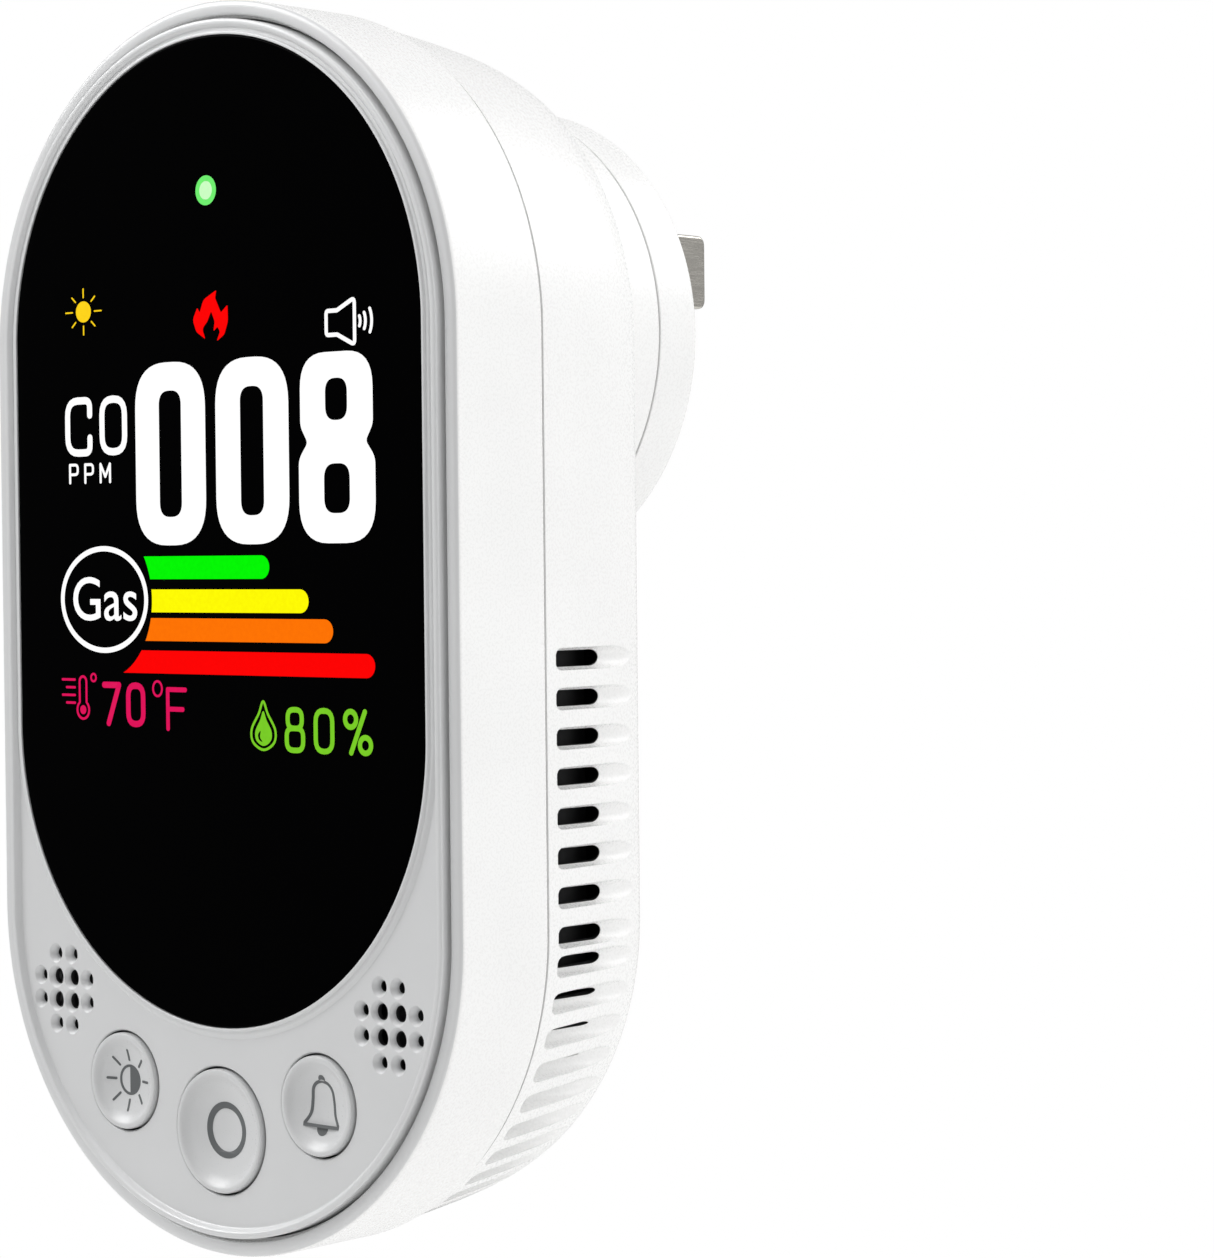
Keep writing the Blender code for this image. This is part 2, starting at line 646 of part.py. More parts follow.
def plug_head():
    """The round head that twists on the collar and carries the two blades."""
    centre = (0, PLUG_HEIGHT)
    cap_profile = (
        (0, PLUG_FACE),
        (PLUG_RADIUS - 0.9, PLUG_FACE),
        (PLUG_RADIUS - 0.25, PLUG_FACE - 0.25),
        (PLUG_RADIUS, PLUG_FACE - 0.9),
        (PLUG_RADIUS, PLUG_SPLIT),
        (PLUG_RADIUS - 1.8, PLUG_SPLIT),
        (PLUG_RADIUS - 1.8, PLUG_FACE - 2.2),
        (0, PLUG_FACE - 2.2),
    )
    cap = turned("plug_cap", cap_profile, *centre, 44)
    x, z = along(LATCH_ANGLE, PLUG_RADIUS)
    cut(cap, block("tongue_notch", x, PLUG_SPLIT, z, (4, 1.6, 2 * LATCH_RADIUS + 0.2), LATCH_ANGLE))
    base_profile = (
        (0, PLUG_FACE - 2.5),
        (17.4, PLUG_FACE - 2.5),
        (17.4, PLUG_SPLIT),
        (FLANGE_BORE - 0.4, PLUG_SPLIT),
        (FLANGE_BORE - 0.4, FLANGE_UNDER - 2.1),
        (FLANGE_BORE - 3.0, FLANGE_UNDER - 2.1),
        (FLANGE_BORE - 3.0, PLUG_SPLIT),
        (0, PLUG_SPLIT),
    )
    base = turned("plug_base", base_profile, *centre, 36)
    for angle in LUG_ANGLES:
        x, z = along(angle, (FLANGE_BORE - 2.0 + LUG_OUTER) / 2)
        size = (LUG_OUTER - FLANGE_BORE + 2.0, 1.8, LUG_WIDTH)
        add(base, block("lug", x, FLANGE_UNDER - GAP - 0.9, z, size, angle))
    blades = []
    for side, word in ((-1, "left"), (1, "right")):
        x, z = side * BLADE_SPACING / 2, PLUG_HEIGHT + BLADE_RISE
        slot = (BLADE_THICK + 0.5, 9, BLADE_WIDTH + 0.5)
        cut(cap, block("cap_blade_slot_" + word, x, PLUG_FACE - 2, z, slot))
        cut(base, block("base_blade_slot_" + word, x, PLUG_FACE - 4, z, slot))
        blades.append(blade("blade_" + word, x, z))
        x, z = side * PLUG_SCREW_SPOT[0], PLUG_HEIGHT + PLUG_SCREW_SPOT[1]
        cut(base, rod("plug_screw_hole_" + word, x, z, 1.3, PLUG_SPLIT - 1, PLUG_FACE - 1, 12))
        cut(cap, rod("cap_screw_hole_" + word, x, z, 1.0, PLUG_SPLIT - 1, PLUG_FACE - 1.0, 12))
        blades.append(plug_screw("plug_screw_" + word, x, z))
    paint(WHITE, cap, base)
    pivot("plug_twist_axis", spot(0, PLUG_FACE, PLUG_HEIGHT), [cap, base, *blades])


def plug_screw(name, x, height):
    """A screw driven towards the rear, from inside the plug head into its cap."""
    seat = PLUG_SPLIT - GAP
    profile = (
        (0, seat - 1.2),
        (1.9, seat - 1.2),
        (1.9, seat),
        (0.7, seat),
        (0.7, PLUG_FACE - 1.4),
        (0, PLUG_FACE - 1.4),
    )
    made = turned(name, profile, x, height, 12)
    paint(STEEL, made)
    return made


def blade(name, x, height):
    """A flat plug blade with chamfered corners at its tip and a hole near it."""
    tip = PLUG_FACE + BLADE_LENGTH
    bm = bmesh.new()
    half, chamfer = BLADE_WIDTH / 2, 1.3
    outline = (
        (BLADE_TAIL, -half),
        (tip - chamfer, -half),
        (tip, chamfer - half),
        (tip, half - chamfer),
        (tip - chamfer, half),
        (BLADE_TAIL, half),
    )
    side = [bm.verts.new(spot(x - BLADE_THICK / 2, depth, height + z)) for depth, z in outline]
    face = bm.faces.new(side)
    grown = bmesh.ops.extrude_face_region(bm, geom=[face])["geom"]
    moved = [item for item in grown if isinstance(item, bmesh.types.BMVert)]
    bmesh.ops.translate(bm, vec=(BLADE_THICK * MM, 0, 0), verts=moved)
    made = from_bmesh(name, bm)
    hole = bmesh.new()
    radius = BLADE_HOLE * MM
    bmesh.ops.create_cone(hole, cap_ends=True, segments=20, radius1=radius, radius2=radius, depth=6 * MM)
    turn = Matrix.Translation(spot(x, tip - BLADE_HOLE_FROM_TIP, height)) @ Matrix.Rotation(pi / 2, 4, "Y")
    bmesh.ops.transform(hole, matrix=turn, verts=hole.verts)
    cut(made, from_bmesh(name + "_hole", hole))
    paint(NICKEL, made)
    return made


def latch_outline(inner, radius, reach):
    """A tab along the latch's direction with a round outer end."""
    start = along(LATCH_ANGLE, inner, -radius)
    end = along(LATCH_ANGLE, inner, radius)
    x, z = along(LATCH_ANGLE, reach)
    return [end, start] + arc(x, z, radius, LATCH_ANGLE - 90, LATCH_ANGLE + 90, 12)


def release_latch():
    """The sliding button that frees the plug head, and its return spring inside the case."""
    outline = latch_outline(LATCH_INNER, LATCH_RADIUS - 0.1, LATCH_REACH)
    latch = plate("release_latch", [outline], BACK - 2.2, LATCH_TOP)
    far = LATCH_STEP + 2 * (LATCH_REACH + LATCH_RADIUS - LATCH_STEP)
    low = LATCH_TOP - 2 * (LATCH_TOP - LATCH_TIP)
    high = LATCH_TOP + 5
    wedge = bmesh.new()
    corners = []
    for across in (-5, 5):
        for reach, depth in ((LATCH_STEP, LATCH_TOP + 0.01), (far, low), (far, high), (LATCH_STEP, high)):
            x, z = along(LATCH_ANGLE, reach, across)
            corners.append(wedge.verts.new(spot(x, depth, z)))
    bmesh.ops.convex_hull(wedge, input=corners)
    cut(latch, from_bmesh("latch_slope", wedge))
    x, z = along(LATCH_ANGLE, LATCH_REACH + 0.2)
    foot = block("latch_foot", x, BACK - 3.3, z, (2 * LATCH_FOOT, 2.6, 7.6), LATCH_ANGLE)
    add(latch, foot)
    paint(WHITE, latch)
    pivot("release_latch_axis", spot(x, BACK, z), [latch])


def latch_spring():
    """The coil that pushes the latch back towards the plug head, as a helix with open ends."""
    start = LATCH_REACH + 0.2 + LATCH_FOOT + GAP + SPRING_WIRE
    length = SPRING_STOP - 0.6 - GAP - SPRING_WIRE - start
    steps = 8 * SPRING_TURNS
    curve = bpy.data.curves.new("latch_spring", "CURVE")
    curve.dimensions = "3D"
    curve.bevel_depth = SPRING_WIRE * MM
    curve.bevel_resolution = 1
    curve.use_fill_caps = True
    spline = curve.splines.new("POLY")
    spline.points.add(steps)
    for i, point in enumerate(spline.points):
        turn = 2 * pi * i / 8
        x, z = along(LATCH_ANGLE, start + length * i / steps, SPRING_RADIUS * cos(turn))
        point.co = (*spot(x, SPRING_DEPTH + SPRING_RADIUS * sin(turn), z), 1)
    coil = bpy.data.objects.new("latch_spring", curve)
    PARTS.objects.link(coil)
    paint(STEEL, to_mesh("latch_spring", coil))


def make_materials():
    return (
        material("white_shell", (0.86, 0.86, 0.85), 0.35),
        material("panel_grey", (0.50, 0.51, 0.52), 0.4),
        material("button_grey", (0.74, 0.75, 0.76), 0.4),
        material("black_lens", (0.004, 0.004, 0.005), 0.08),
        material("display_glass", (0.05, 0.06, 0.06), 0.1),
        material("diffuser", (0.9, 0.95, 0.9), 0.3),
        material("flex_amber", (0.55, 0.25, 0.05), 0.4),
        material("black_plastic", (0.02, 0.02, 0.02), 0.5),
        material("board_black", (0.012, 0.014, 0.013), 0.45),
        material("sensor_steel", (0.55, 0.55, 0.54), 0.3, 1.0),
        material("tape_yellow", (0.8, 0.6, 0.1), 0.5),
        material("varistor_blue", (0.05, 0.15, 0.5), 0.5),
        material("contact_brass", (0.75, 0.55, 0.25), 0.3, 1.0),
        material("blade_nickel", (0.56, 0.53, 0.47), 0.28, 1.0),
    )


clear_scene()
PARTS = new_collection("carbon_monoxide_detector")
CUTTERS = new_collection("cutters")
(WHITE, GREY, LIGHT_GREY, BLACK_GLASS, GLASS, DIFFUSER, AMBER, BLACK, MASK, STEEL,
 YELLOW, BLUE, BRASS, NICKEL) = make_materials()

front_shell()
rear_shell()
front_panel()
display()
buttons()
main_board()
power_board()
screw("case_screw_lower", *SCREW_SPOT, SCREW_WELL_FLOOR + GAP, SCREW_HEAD, 8.0, SCREW_SHANK)
screw("case_screw_upper", *UPPER_SCREW_SPOT, BACK - RECESS + GAP, SCREW_HEAD, 6.0, SCREW_SHANK)
plug_head()
release_latch()
latch_spring()
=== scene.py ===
"""The looks of the plug-in carbon monoxide detector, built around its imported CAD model.

Sizes are in millimetres. As in the CAD source, x runs to the viewer's right, a depth is measured
back from the front rim and a height up from the middle of the housing; spot() turns them into metres.
"""

import json
from math import atan2, cos, degrees, hypot, pi, radians, sin

import bmesh
import bpy
from mathutils import Matrix, Vector


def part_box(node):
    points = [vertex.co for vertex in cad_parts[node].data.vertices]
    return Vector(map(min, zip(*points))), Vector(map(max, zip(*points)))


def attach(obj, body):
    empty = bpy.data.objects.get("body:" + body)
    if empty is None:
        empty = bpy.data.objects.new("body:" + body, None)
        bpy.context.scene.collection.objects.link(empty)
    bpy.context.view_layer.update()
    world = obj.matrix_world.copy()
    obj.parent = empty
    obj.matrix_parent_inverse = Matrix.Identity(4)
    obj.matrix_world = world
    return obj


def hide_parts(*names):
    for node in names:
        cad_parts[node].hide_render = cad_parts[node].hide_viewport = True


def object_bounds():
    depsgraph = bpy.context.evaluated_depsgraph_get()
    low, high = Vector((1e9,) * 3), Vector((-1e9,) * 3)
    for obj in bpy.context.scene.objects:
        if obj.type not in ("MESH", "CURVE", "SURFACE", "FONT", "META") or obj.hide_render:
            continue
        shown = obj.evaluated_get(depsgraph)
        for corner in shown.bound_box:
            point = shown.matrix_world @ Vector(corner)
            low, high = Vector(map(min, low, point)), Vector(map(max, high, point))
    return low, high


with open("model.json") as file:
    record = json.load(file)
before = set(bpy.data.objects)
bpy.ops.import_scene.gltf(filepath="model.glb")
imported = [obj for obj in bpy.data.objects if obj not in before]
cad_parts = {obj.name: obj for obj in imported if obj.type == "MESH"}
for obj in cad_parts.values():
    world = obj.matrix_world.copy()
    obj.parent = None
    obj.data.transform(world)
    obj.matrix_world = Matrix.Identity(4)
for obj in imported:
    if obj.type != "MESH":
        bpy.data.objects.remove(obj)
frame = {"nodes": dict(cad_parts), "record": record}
CAD_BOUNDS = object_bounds()
MM = 0.001


def extent(node):
    """A CAD node's lowest and highest corners in millimetres."""
    low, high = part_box(node)
    return Vector(low) / MM, Vector(high) / MM


def centre(node):
    """The x and height of a CAD node's middle."""
    low, high = extent(node)
    return (low.x + high.x) / 2, (low.z + high.z) / 2 - MIDDLE_Z


def mount(name):
    """A mount's place in millimetres."""
    for item in frame["record"]["mounts"]:
        if item["name"] == name:
            return Vector(item["pos_m"]) / MM
    raise KeyError(name)


# ---------------------------------------------------------------- sizes read from the frame
FRONT_LOW, FRONT_HIGH = extent("front_shell")
CAP_LOW, CAP_HIGH = extent("plug_cap")
LENS_LOW, LENS_HIGH = extent("display_lens")
PANEL_LOW, PANEL_HIGH = extent("front_panel")

FACE_Y = FRONT_LOW.y
MIDDLE_Z = (FRONT_LOW.z + FRONT_HIGH.z) / 2
RADIUS = (FRONT_HIGH.x - FRONT_LOW.x) / 2
STRAIGHT = (FRONT_HIGH.z - FRONT_LOW.z) / 2 - RADIUS
SHELL_END = FRONT_HIGH.y - FACE_Y
PLUG_FACE = CAP_HIGH.y - FACE_Y
PLUG_SPLIT = CAP_LOW.y - FACE_Y
PLUG_RADIUS = (CAP_HIGH.x - CAP_LOW.x) / 2
PLUG_HEIGHT = (CAP_LOW.z + CAP_HIGH.z) / 2 - MIDDLE_Z
COLLAR_TOP = extent("rear_shell")[1].y - FACE_Y
LENS_RADIUS = (LENS_HIGH.x - LENS_LOW.x) / 2
LENS_TOP = LENS_HIGH.z - MIDDLE_Z - LENS_RADIUS
LENS_BOTTOM = LENS_LOW.z - MIDDLE_Z + LENS_RADIUS
LENS_FRONT = LENS_LOW.y - FACE_Y
LENS_BACK = LENS_HIGH.y - FACE_Y
PANEL_RADIUS = (PANEL_HIGH.x - PANEL_LOW.x) / 2
PANEL_FRONT = PANEL_LOW.y - FACE_Y
PANEL_BACK = PANEL_HIGH.y - FACE_Y
LABEL_FLOOR = mount("label_face").y - FACE_Y
LABEL_HEIGHT = mount("label_face").z - MIDDLE_Z

# ---------------------------------------------------------------- sizes of the details
WALL = 1.7
RIM = 1.18
RIM_GREY_DEPTH = 0.4
GAP = 0.25
GROOVE = 0.75
SHELF = 3.0
LABEL_DEEP = 0.5
LABEL_RADIUS = 17.0
RECESS = 0.25
BORDER = 1.85
BACK = LABEL_FLOOR + LABEL_DEEP + RECESS
BACK_RADIUS = 23.0
PANEL_FLAT = -0.12
VENT_FIRST = -2.25
VENT_PITCH = 3.0
VENT_STRAIGHT = 8
VENT_ARC_STEPS = 28
VENT_FROM = 11.4
VENT_TO = 17.3
SLOT_HALF = 0.62
SLOT_THIN = 0.16
SLOT_LOSS = 0.17
SCOOP_HALF = 0.84
SCOOP_FLOOR = 23.92
SCOOP_TO = 21.4
GRILLE_X = 18.5
GRILLE_HEIGHT = -29.2
GRILLE_PITCH = 1.9
SCREW_SPOT = (5.3, -34.3)
SCREW_HOLE = 2.1
BLADE_HOLE = 1.6
BLADE_HOLE_FROM_TIP = 4.3
LATCH_ANGLE = -57.0
LATCH_REACH = 21.9
LATCH_RADIUS = 3.1
LATCH_INNER = 17.5
LATCH_STEP = 20.9
LATCH_TOP = 30.3
LATCH_TIP = 24.8
WELL_RADIUS = 4.2
WELL_SHADE = 19.6
VENT_SHADE = 9.0
BUTTON_FLANGE = 0.6

ARC_STEPS = 112
STRAIGHT_STEPS = 56
INK_THICK = 0.03
INK_SINK = 0.02
MARK_RISE = 0.32
MARK_SINK = 0.08


def spot(x, depth, height):
    return Vector((x, depth + FACE_Y, height + MIDDLE_Z)) * MM


# ---------------------------------------------------------------- outlines
def arc(x, y, radius, start, end, steps=24):
    """Points along an arc, with angles in degrees from +x towards +y."""
    turn = radians(end - start) / steps
    return [
        (x + radius * cos(radians(start) + turn * i), y + radius * sin(radians(start) + turn * i))
        for i in range(steps + 1)
    ]


def circle(x, y, radius, steps=48):
    return arc(x, y, radius, 0, 360, steps)[:-1]


def ellipse(x, y, across, up, steps=96):
    return [(x + across * cos(2 * pi * i / steps), y + up * sin(2 * pi * i / steps)) for i in range(steps)]


def capsule(radius, top=STRAIGHT, bottom=-STRAIGHT):
    """A closed outline with round ends and evenly divided straight sides, from the right side up."""
    rise = [(radius, bottom + (top - bottom) * i / STRAIGHT_STEPS) for i in range(1, STRAIGHT_STEPS)]
    fall = [(-radius, y) for _, y in reversed(rise)]
    upper = arc(0, top, radius, 0, 180, ARC_STEPS)
    lower = arc(0, bottom, radius, 180, 360, ARC_STEPS)
    return rise + upper + fall + lower


def filleted(corners, closed=True, steps=5):
    """A path through (x, y, radius) corners, each rounded by an arc of about its radius."""
    path = []
    count = len(corners)
    for i, (x, y, radius) in enumerate(corners):
        if not radius or (not closed and i in (0, count - 1)):
            path.append((x, y))
            continue
        here = Vector((x, y))
        to_last = Vector(corners[i - 1][:2]) - here
        to_next = Vector(corners[(i + 1) % count][:2]) - here
        half = to_last.angle(to_next) / 2
        most = min(to_last.length, to_next.length) * 0.49
        reach = min(radius / max(0.01, abs(sin(half) / cos(half))), most)
        start, end = here + to_last.normalized() * reach, here + to_next.normalized() * reach
        for k in range(steps + 1):
            t = k / steps
            point = start.lerp(here, t).lerp(here.lerp(end, t), t)
            path.append((point.x, point.y))
    return path


def smooth(points, steps=8, closed=True):
    """A Catmull-Rom curve through the points."""
    count = len(points)
    path = []
    for i in range(count if closed else count - 1):
        near = [i + k for k in (-1, 0, 1, 2)]
        p = [Vector(points[k % count if closed else min(max(k, 0), count - 1)]) for k in near]
        for k in range(steps):
            t = k / steps
            a = 2 * p[1] + (p[2] - p[0]) * t
            b = (2 * p[0] - 5 * p[1] + 4 * p[2] - p[3]) * t * t
            c = (3 * p[1] - p[0] - 3 * p[2] + p[3]) * t * t * t
            path.append(tuple((a + b + c) / 2))
    if not closed:
        path.append(tuple(points[-1]))
    return path


def box_outline(x, y, width, tall, radius):
    dx, dy = width / 2, tall / 2
    return filleted([(x + dx, y + dy, radius), (x - dx, y + dy, radius), (x - dx, y - dy, radius),
                     (x + dx, y - dy, radius)], steps=10)


def side_of(path, distance, closed):
    """The path moved to its left by a distance."""
    moved = []
    count = len(path)
    for i, (x, y) in enumerate(path):
        before = path[i - 1] if closed or i else path[i]
        after = path[(i + 1) % count] if closed or i < count - 1 else path[i]
        dx, dy = after[0] - before[0], after[1] - before[1]
        size = hypot(dx, dy) or 1.0
        moved.append((x - dy / size * distance, y + dx / size * distance))
    return moved


def stroke(path, width, closed=False):
    """The outlines of a line of even width along a path, with round ends where it is open."""
    left, right = side_of(path, width / 2, closed), side_of(path, -width / 2, closed)
    if closed:
        return [left, right]
    loop = list(left)
    for (x, y), (from_x, from_y), rest in ((path[-1], left[-1], right[::-1]), (path[0], right[0], [])):
        angle = degrees(atan2(from_y - y, from_x - x))
        loop += arc(x, y, width / 2, angle, angle - 180, 8)[1:-1] + rest
    return [loop]


# ---------------------------------------------------------------- meshes
def from_bmesh(name, bm):
    bmesh.ops.remove_doubles(bm, verts=bm.verts, dist=0.000001)
    bmesh.ops.recalc_face_normals(bm, faces=bm.faces)
    mesh = bpy.data.meshes.new(name)
    bm.to_mesh(mesh)
    bm.free()
    made = bpy.data.objects.new(name, mesh)
    bpy.context.scene.collection.objects.link(made)
    return made


def to_mesh(name, source):
    """A mesh object with the evaluated shape of another object, which is removed."""
    bpy.context.view_layer.update()
    shape = bpy.data.meshes.new_from_object(source.evaluated_get(bpy.context.evaluated_depsgraph_get()))
    bm = bmesh.new()
    bm.from_mesh(shape)
    bmesh.ops.transform(bm, matrix=source.matrix_world, verts=bm.verts)
    bpy.data.objects.remove(source, do_unlink=True)
    return from_bmesh(name, bm)


def loft(name, profile, outline=capsule, looped=False):
    """Rings of (radius, depth), each with its radius's outline, filled or joined up at the ends."""
    bm = bmesh.new()
    rings = [[bm.verts.new(spot(x, depth, z)) for x, z in outline(r)] for r, depth in profile]
    pairs = list(zip(rings, rings[1:]))
    if looped:
        pairs.append((rings[-1], rings[0]))
    for low, high in pairs:
        for i, vert in enumerate(low):
            j = (i + 1) % len(low)
            bm.faces.new((vert, low[j], high[j], high[i]))
    if not looped:
        bm.faces.new(rings[0])
        bm.faces.new(rings[-1])
    return from_bmesh(name, bm)


def turned(name, profile, x, height, steps=64, looped=False):
    """A (radius, depth) profile turned about a line along Y."""
    return loft(name, profile, lambda radius: circle(x, height, radius, steps), looped)


def prism(name, outline, low, high, place):
    """An outline pushed from one level to another, where place turns (u, v, level) into metres."""
    bm = bmesh.new()
    ends = [[bm.verts.new(place(u, v, level)) for u, v in outline] for level in (low, high)]
    for end in ends:
        bm.faces.new(end)
    for i in range(len(outline)):
        j = (i + 1) % len(outline)
        bm.faces.new((ends[0][i], ends[0][j], ends[1][j], ends[1][i]))
    return from_bmesh(name, bm)


def facing(u, v, level):
    """Places an outline of x and height at a depth."""
    return spot(u, level, v)


def along(angle, reach, across=0.0):
    """The x and height at a reach from the plug head's axis, in a direction and off to its side."""
    a = radians(angle)
    return reach * cos(a) - across * sin(a), PLUG_HEIGHT + reach * sin(a) + across * cos(a)


def spot_along(reach, across, depth):
    """Places an outline of reach and offset in the latch's direction at a depth."""
    x, z = along(LATCH_ANGLE, reach, across)
    return spot(x, depth, z)


def merged(name, pieces):
    """One object made of pieces that don't touch each other."""
    bm = bmesh.new()
    for piece in pieces:
        bm.from_mesh(piece.data)
        bpy.data.objects.remove(piece, do_unlink=True)
    return from_bmesh(name, bm)


def combine(target, tool, operation):
    step = target.modifiers.new("shape", "BOOLEAN")
    step.operation = operation
    step.solver = "MANIFOLD"
    step.object = tool
    bpy.context.view_layer.update()
    shape = bpy.data.meshes.new_from_object(target.evaluated_get(bpy.context.evaluated_depsgraph_get()))
    target.modifiers.clear()
    target.data = shape
    bpy.data.objects.remove(tool, do_unlink=True)


def cut(target, *tools):
    for tool in tools:
        combine(target, tool, "DIFFERENCE")


def add(target, *tools):
    for tool in tools:
        combine(target, tool, "UNION")


def bevel(piece, width):
    """Rounds the piece's sharp edges in its mesh."""
    edge = piece.modifiers.new("bevel", "BEVEL")
    edge.width = width * MM
    edge.segments = 3
    edge.limit_method = "ANGLE"
    edge.angle_limit = radians(40)
    edge.use_clamp_overlap = True


def polish(piece, material, body, nodes=(), crease=32):
    """Gives a piece its shading, material and body, and hides the CAD nodes it stands for."""
    piece.data.shade_smooth()
    piece.data.set_sharp_from_angle(angle=radians(crease))
    weigh = piece.modifiers.new("normals", "WEIGHTED_NORMAL")
    weigh.keep_sharp = True
    piece.data.materials.clear()
    piece.data.materials.append(material)
    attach(piece, body)
    if nodes:
        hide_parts(*nodes)
    return piece


def plate(name, outlines, front, back):
    """A flat piece facing -Y: each outline inside another is a hole through it."""
    curve = bpy.data.curves.new(name, "CURVE")
    curve.dimensions = "2D"
    curve.fill_mode = "BOTH"
    curve.extrude = (back - front) / 2 * MM
    for outline in outlines:
        spline = curve.splines.new("POLY")
        spline.points.add(len(outline) - 1)
        spline.use_cyclic_u = True
        for point, (x, z) in zip(spline.points, outline):
            point.co = (x * MM, z * MM, 0, 1)
    flat = bpy.data.objects.new(name, curve)
    middle = Matrix.Translation(spot(0, (front + back) / 2, 0))
    flat.matrix_world = middle @ Matrix.Rotation(pi / 2, 4, "X")
    bpy.context.scene.collection.objects.link(flat)
    return to_mesh(name, flat)


def corner(piece, pick):
    """The lowest or highest x, y and z in a piece's mesh, where pick is min or max."""
    return Vector(pick(v.co[k] for v in piece.data.vertices) for k in range(3))


def letters(name, text, weight=0.0):
    """Text as a mesh of letters in the XY plane, with its lowest left corner at the origin."""
    curve = bpy.data.curves.new(name, "FONT")
    curve.body = text
    curve.size = 1.0
    curve.offset = weight
    curve.extrude = 0.05
    curve.resolution_u = 6
    flat = bpy.data.objects.new(name, curve)
    bpy.context.scene.collection.objects.link(flat)
    made = to_mesh(name, flat)
    made.data.transform(Matrix.Translation(-corner(made, min)))
    return made


# ---------------------------------------------------------------- materials
def new_material(name):
    made = bpy.data.materials.new(name)
    made.use_nodes = True
    tree = made.node_tree
    return made, tree, tree.nodes["Principled BSDF"]


def add_node(tree, kind, values, links):
    """A new shader node, with values and incoming links by input."""
    made = tree.nodes.new("ShaderNode" + kind)
    for key, value in values.items():
        made.inputs[key].default_value = value
    for key, source in links.items():
        tree.links.new(source, made.inputs[key])
    return made


def noise(tree, size, detail=3.0, stretch=(1, 1, 1)):
    """A noise factor with features of about a size in millimetres, longer where stretch is larger."""
    place = add_node(tree, "TexCoord", {}, {}).outputs["Object"]
    scale = [1 / (size * MM * s) for s in stretch]
    scaled = add_node(tree, "Mapping", {"Scale": scale}, {"Vector": place}).outputs["Vector"]
    return add_node(tree, "TexNoise", {"Scale": 1.0, "Detail": detail}, {"Vector": scaled}).outputs["Fac"]


def ramped(tree, factor, low, high):
    """Maps the middle of a noise factor to the range from low to high."""
    span = {"From Min": 0.3, "From Max": 0.7, "To Min": low, "To Max": high}
    return add_node(tree, "MapRange", span, {"Value": factor}).outputs["Result"]


def tinted(tree, factor, colour, shift):
    """A colour that the factor darkens and lightens by a share."""
    mix = tree.nodes.new("ShaderNodeMix")
    mix.data_type = "RGBA"
    mix.inputs[6].default_value = [c * (1 - shift) for c in colour] + [1]
    mix.inputs[7].default_value = [min(1, c * (1 + shift)) for c in colour] + [1]
    tree.links.new(ramped(tree, factor, 0, 1), mix.inputs[0])
    return mix.outputs[2]


def surface(name, colour, rough, metallic=0.0, cloud=0.015, grain=0.2, grain_rough=0.03, relief=0.004,
            stretch=(1, 1, 1), edge=0.0, specular=0.5):
    """A moulded, painted or plated surface: slow colour clouds, fine grain and soft edges."""
    made, tree, shader = new_material(name)
    shader.inputs["Metallic"].default_value = metallic
    shader.inputs["Specular IOR Level"].default_value = specular
    slow, fine = noise(tree, 9.0, 4.0, stretch), noise(tree, grain, 2.0, stretch)
    tree.links.new(tinted(tree, slow, colour, cloud), shader.inputs["Base Color"])
    tree.links.new(ramped(tree, fine, rough - grain_rough, rough + grain_rough), shader.inputs["Roughness"])
    bump = add_node(tree, "Bump", {"Strength": 0.5, "Distance": relief * MM}, {"Height": fine})
    if edge:
        soft = add_node(tree, "Bevel", {"Radius": edge * MM}, {})
        soft.samples = 4
        tree.links.new(soft.outputs["Normal"], bump.inputs["Normal"])
    tree.links.new(bump.outputs["Normal"], shader.inputs["Normal"])
    return made


def glow(name, colour, strength=1.0):
    """A lit part of the display: nearly even light with the faint grain of the panel behind the lens."""
    made, tree, shader = new_material(name)
    shader.inputs["Base Color"].default_value = (0.0, 0.0, 0.0, 1)
    shader.inputs["Roughness"].default_value = 0.3
    shader.inputs["Specular IOR Level"].default_value = 0.02
    shader.inputs["Emission Strength"].default_value = strength
    tree.links.new(tinted(tree, noise(tree, 0.35, 1.0), colour, 0.03), shader.inputs["Emission Color"])
    return made


WHITE = surface("white_abs", (0.86, 0.86, 0.855), 0.28, edge=0.15)
# Painted shade: a near-black colour that stands for the shade inside the case, behind the vents and in the
# gaps.
PAINTED_SHADE_BLACK = surface("painted_shade_black", (0.012, 0.012, 0.013), 0.7, grain=0.4)
SILVER = surface("silver_paint", (0.69, 0.695, 0.70), 0.4, metallic=0.15, cloud=0.012, grain=0.12,
                 relief=0.006, edge=0.12)
SATIN = surface("satin_button", (0.64, 0.645, 0.65), 0.3, cloud=0.01, grain=0.15, edge=0.08)
INK = surface("printed_ink", (0.105, 0.112, 0.115), 0.5, cloud=0.05, grain=0.1)
LENS = surface("black_acrylic", (0.0004, 0.0004, 0.0005), 0.08, cloud=0.1, grain=0.6, grain_rough=0.02,
               relief=0.0002, specular=0.01)
NICKEL = surface("satin_nickel", (0.58, 0.56, 0.515), 0.24, metallic=1.0, cloud=0.05, grain=0.06,
                 grain_rough=0.06, relief=0.003, stretch=(1, 40, 1), edge=0.08)
GLOW_WHITE = glow("glow_white", (1.0, 1.0, 1.0), 1.05)
GLOW_GREEN = glow("glow_green", (0.0, 0.92, 0.0))
GLOW_YELLOW = glow("glow_yellow", (1.0, 0.95, 0.0))
GLOW_ORANGE = glow("glow_orange", (1.0, 0.17, 0.0))
GLOW_RED = glow("glow_red", (1.0, 0.0, 0.0))
GLOW_SUN = glow("glow_sun", (1.0, 0.66, 0.01))
GLOW_PINK = glow("glow_pink", (0.74, 0.006, 0.1))
GLOW_LIME = glow("glow_lime", (0.19, 0.6, 0.02))
GLOW_LED = glow("glow_led", (0.16, 0.86, 0.16))
GLOW_CORE = glow("glow_core", (0.6, 1.0, 0.55))

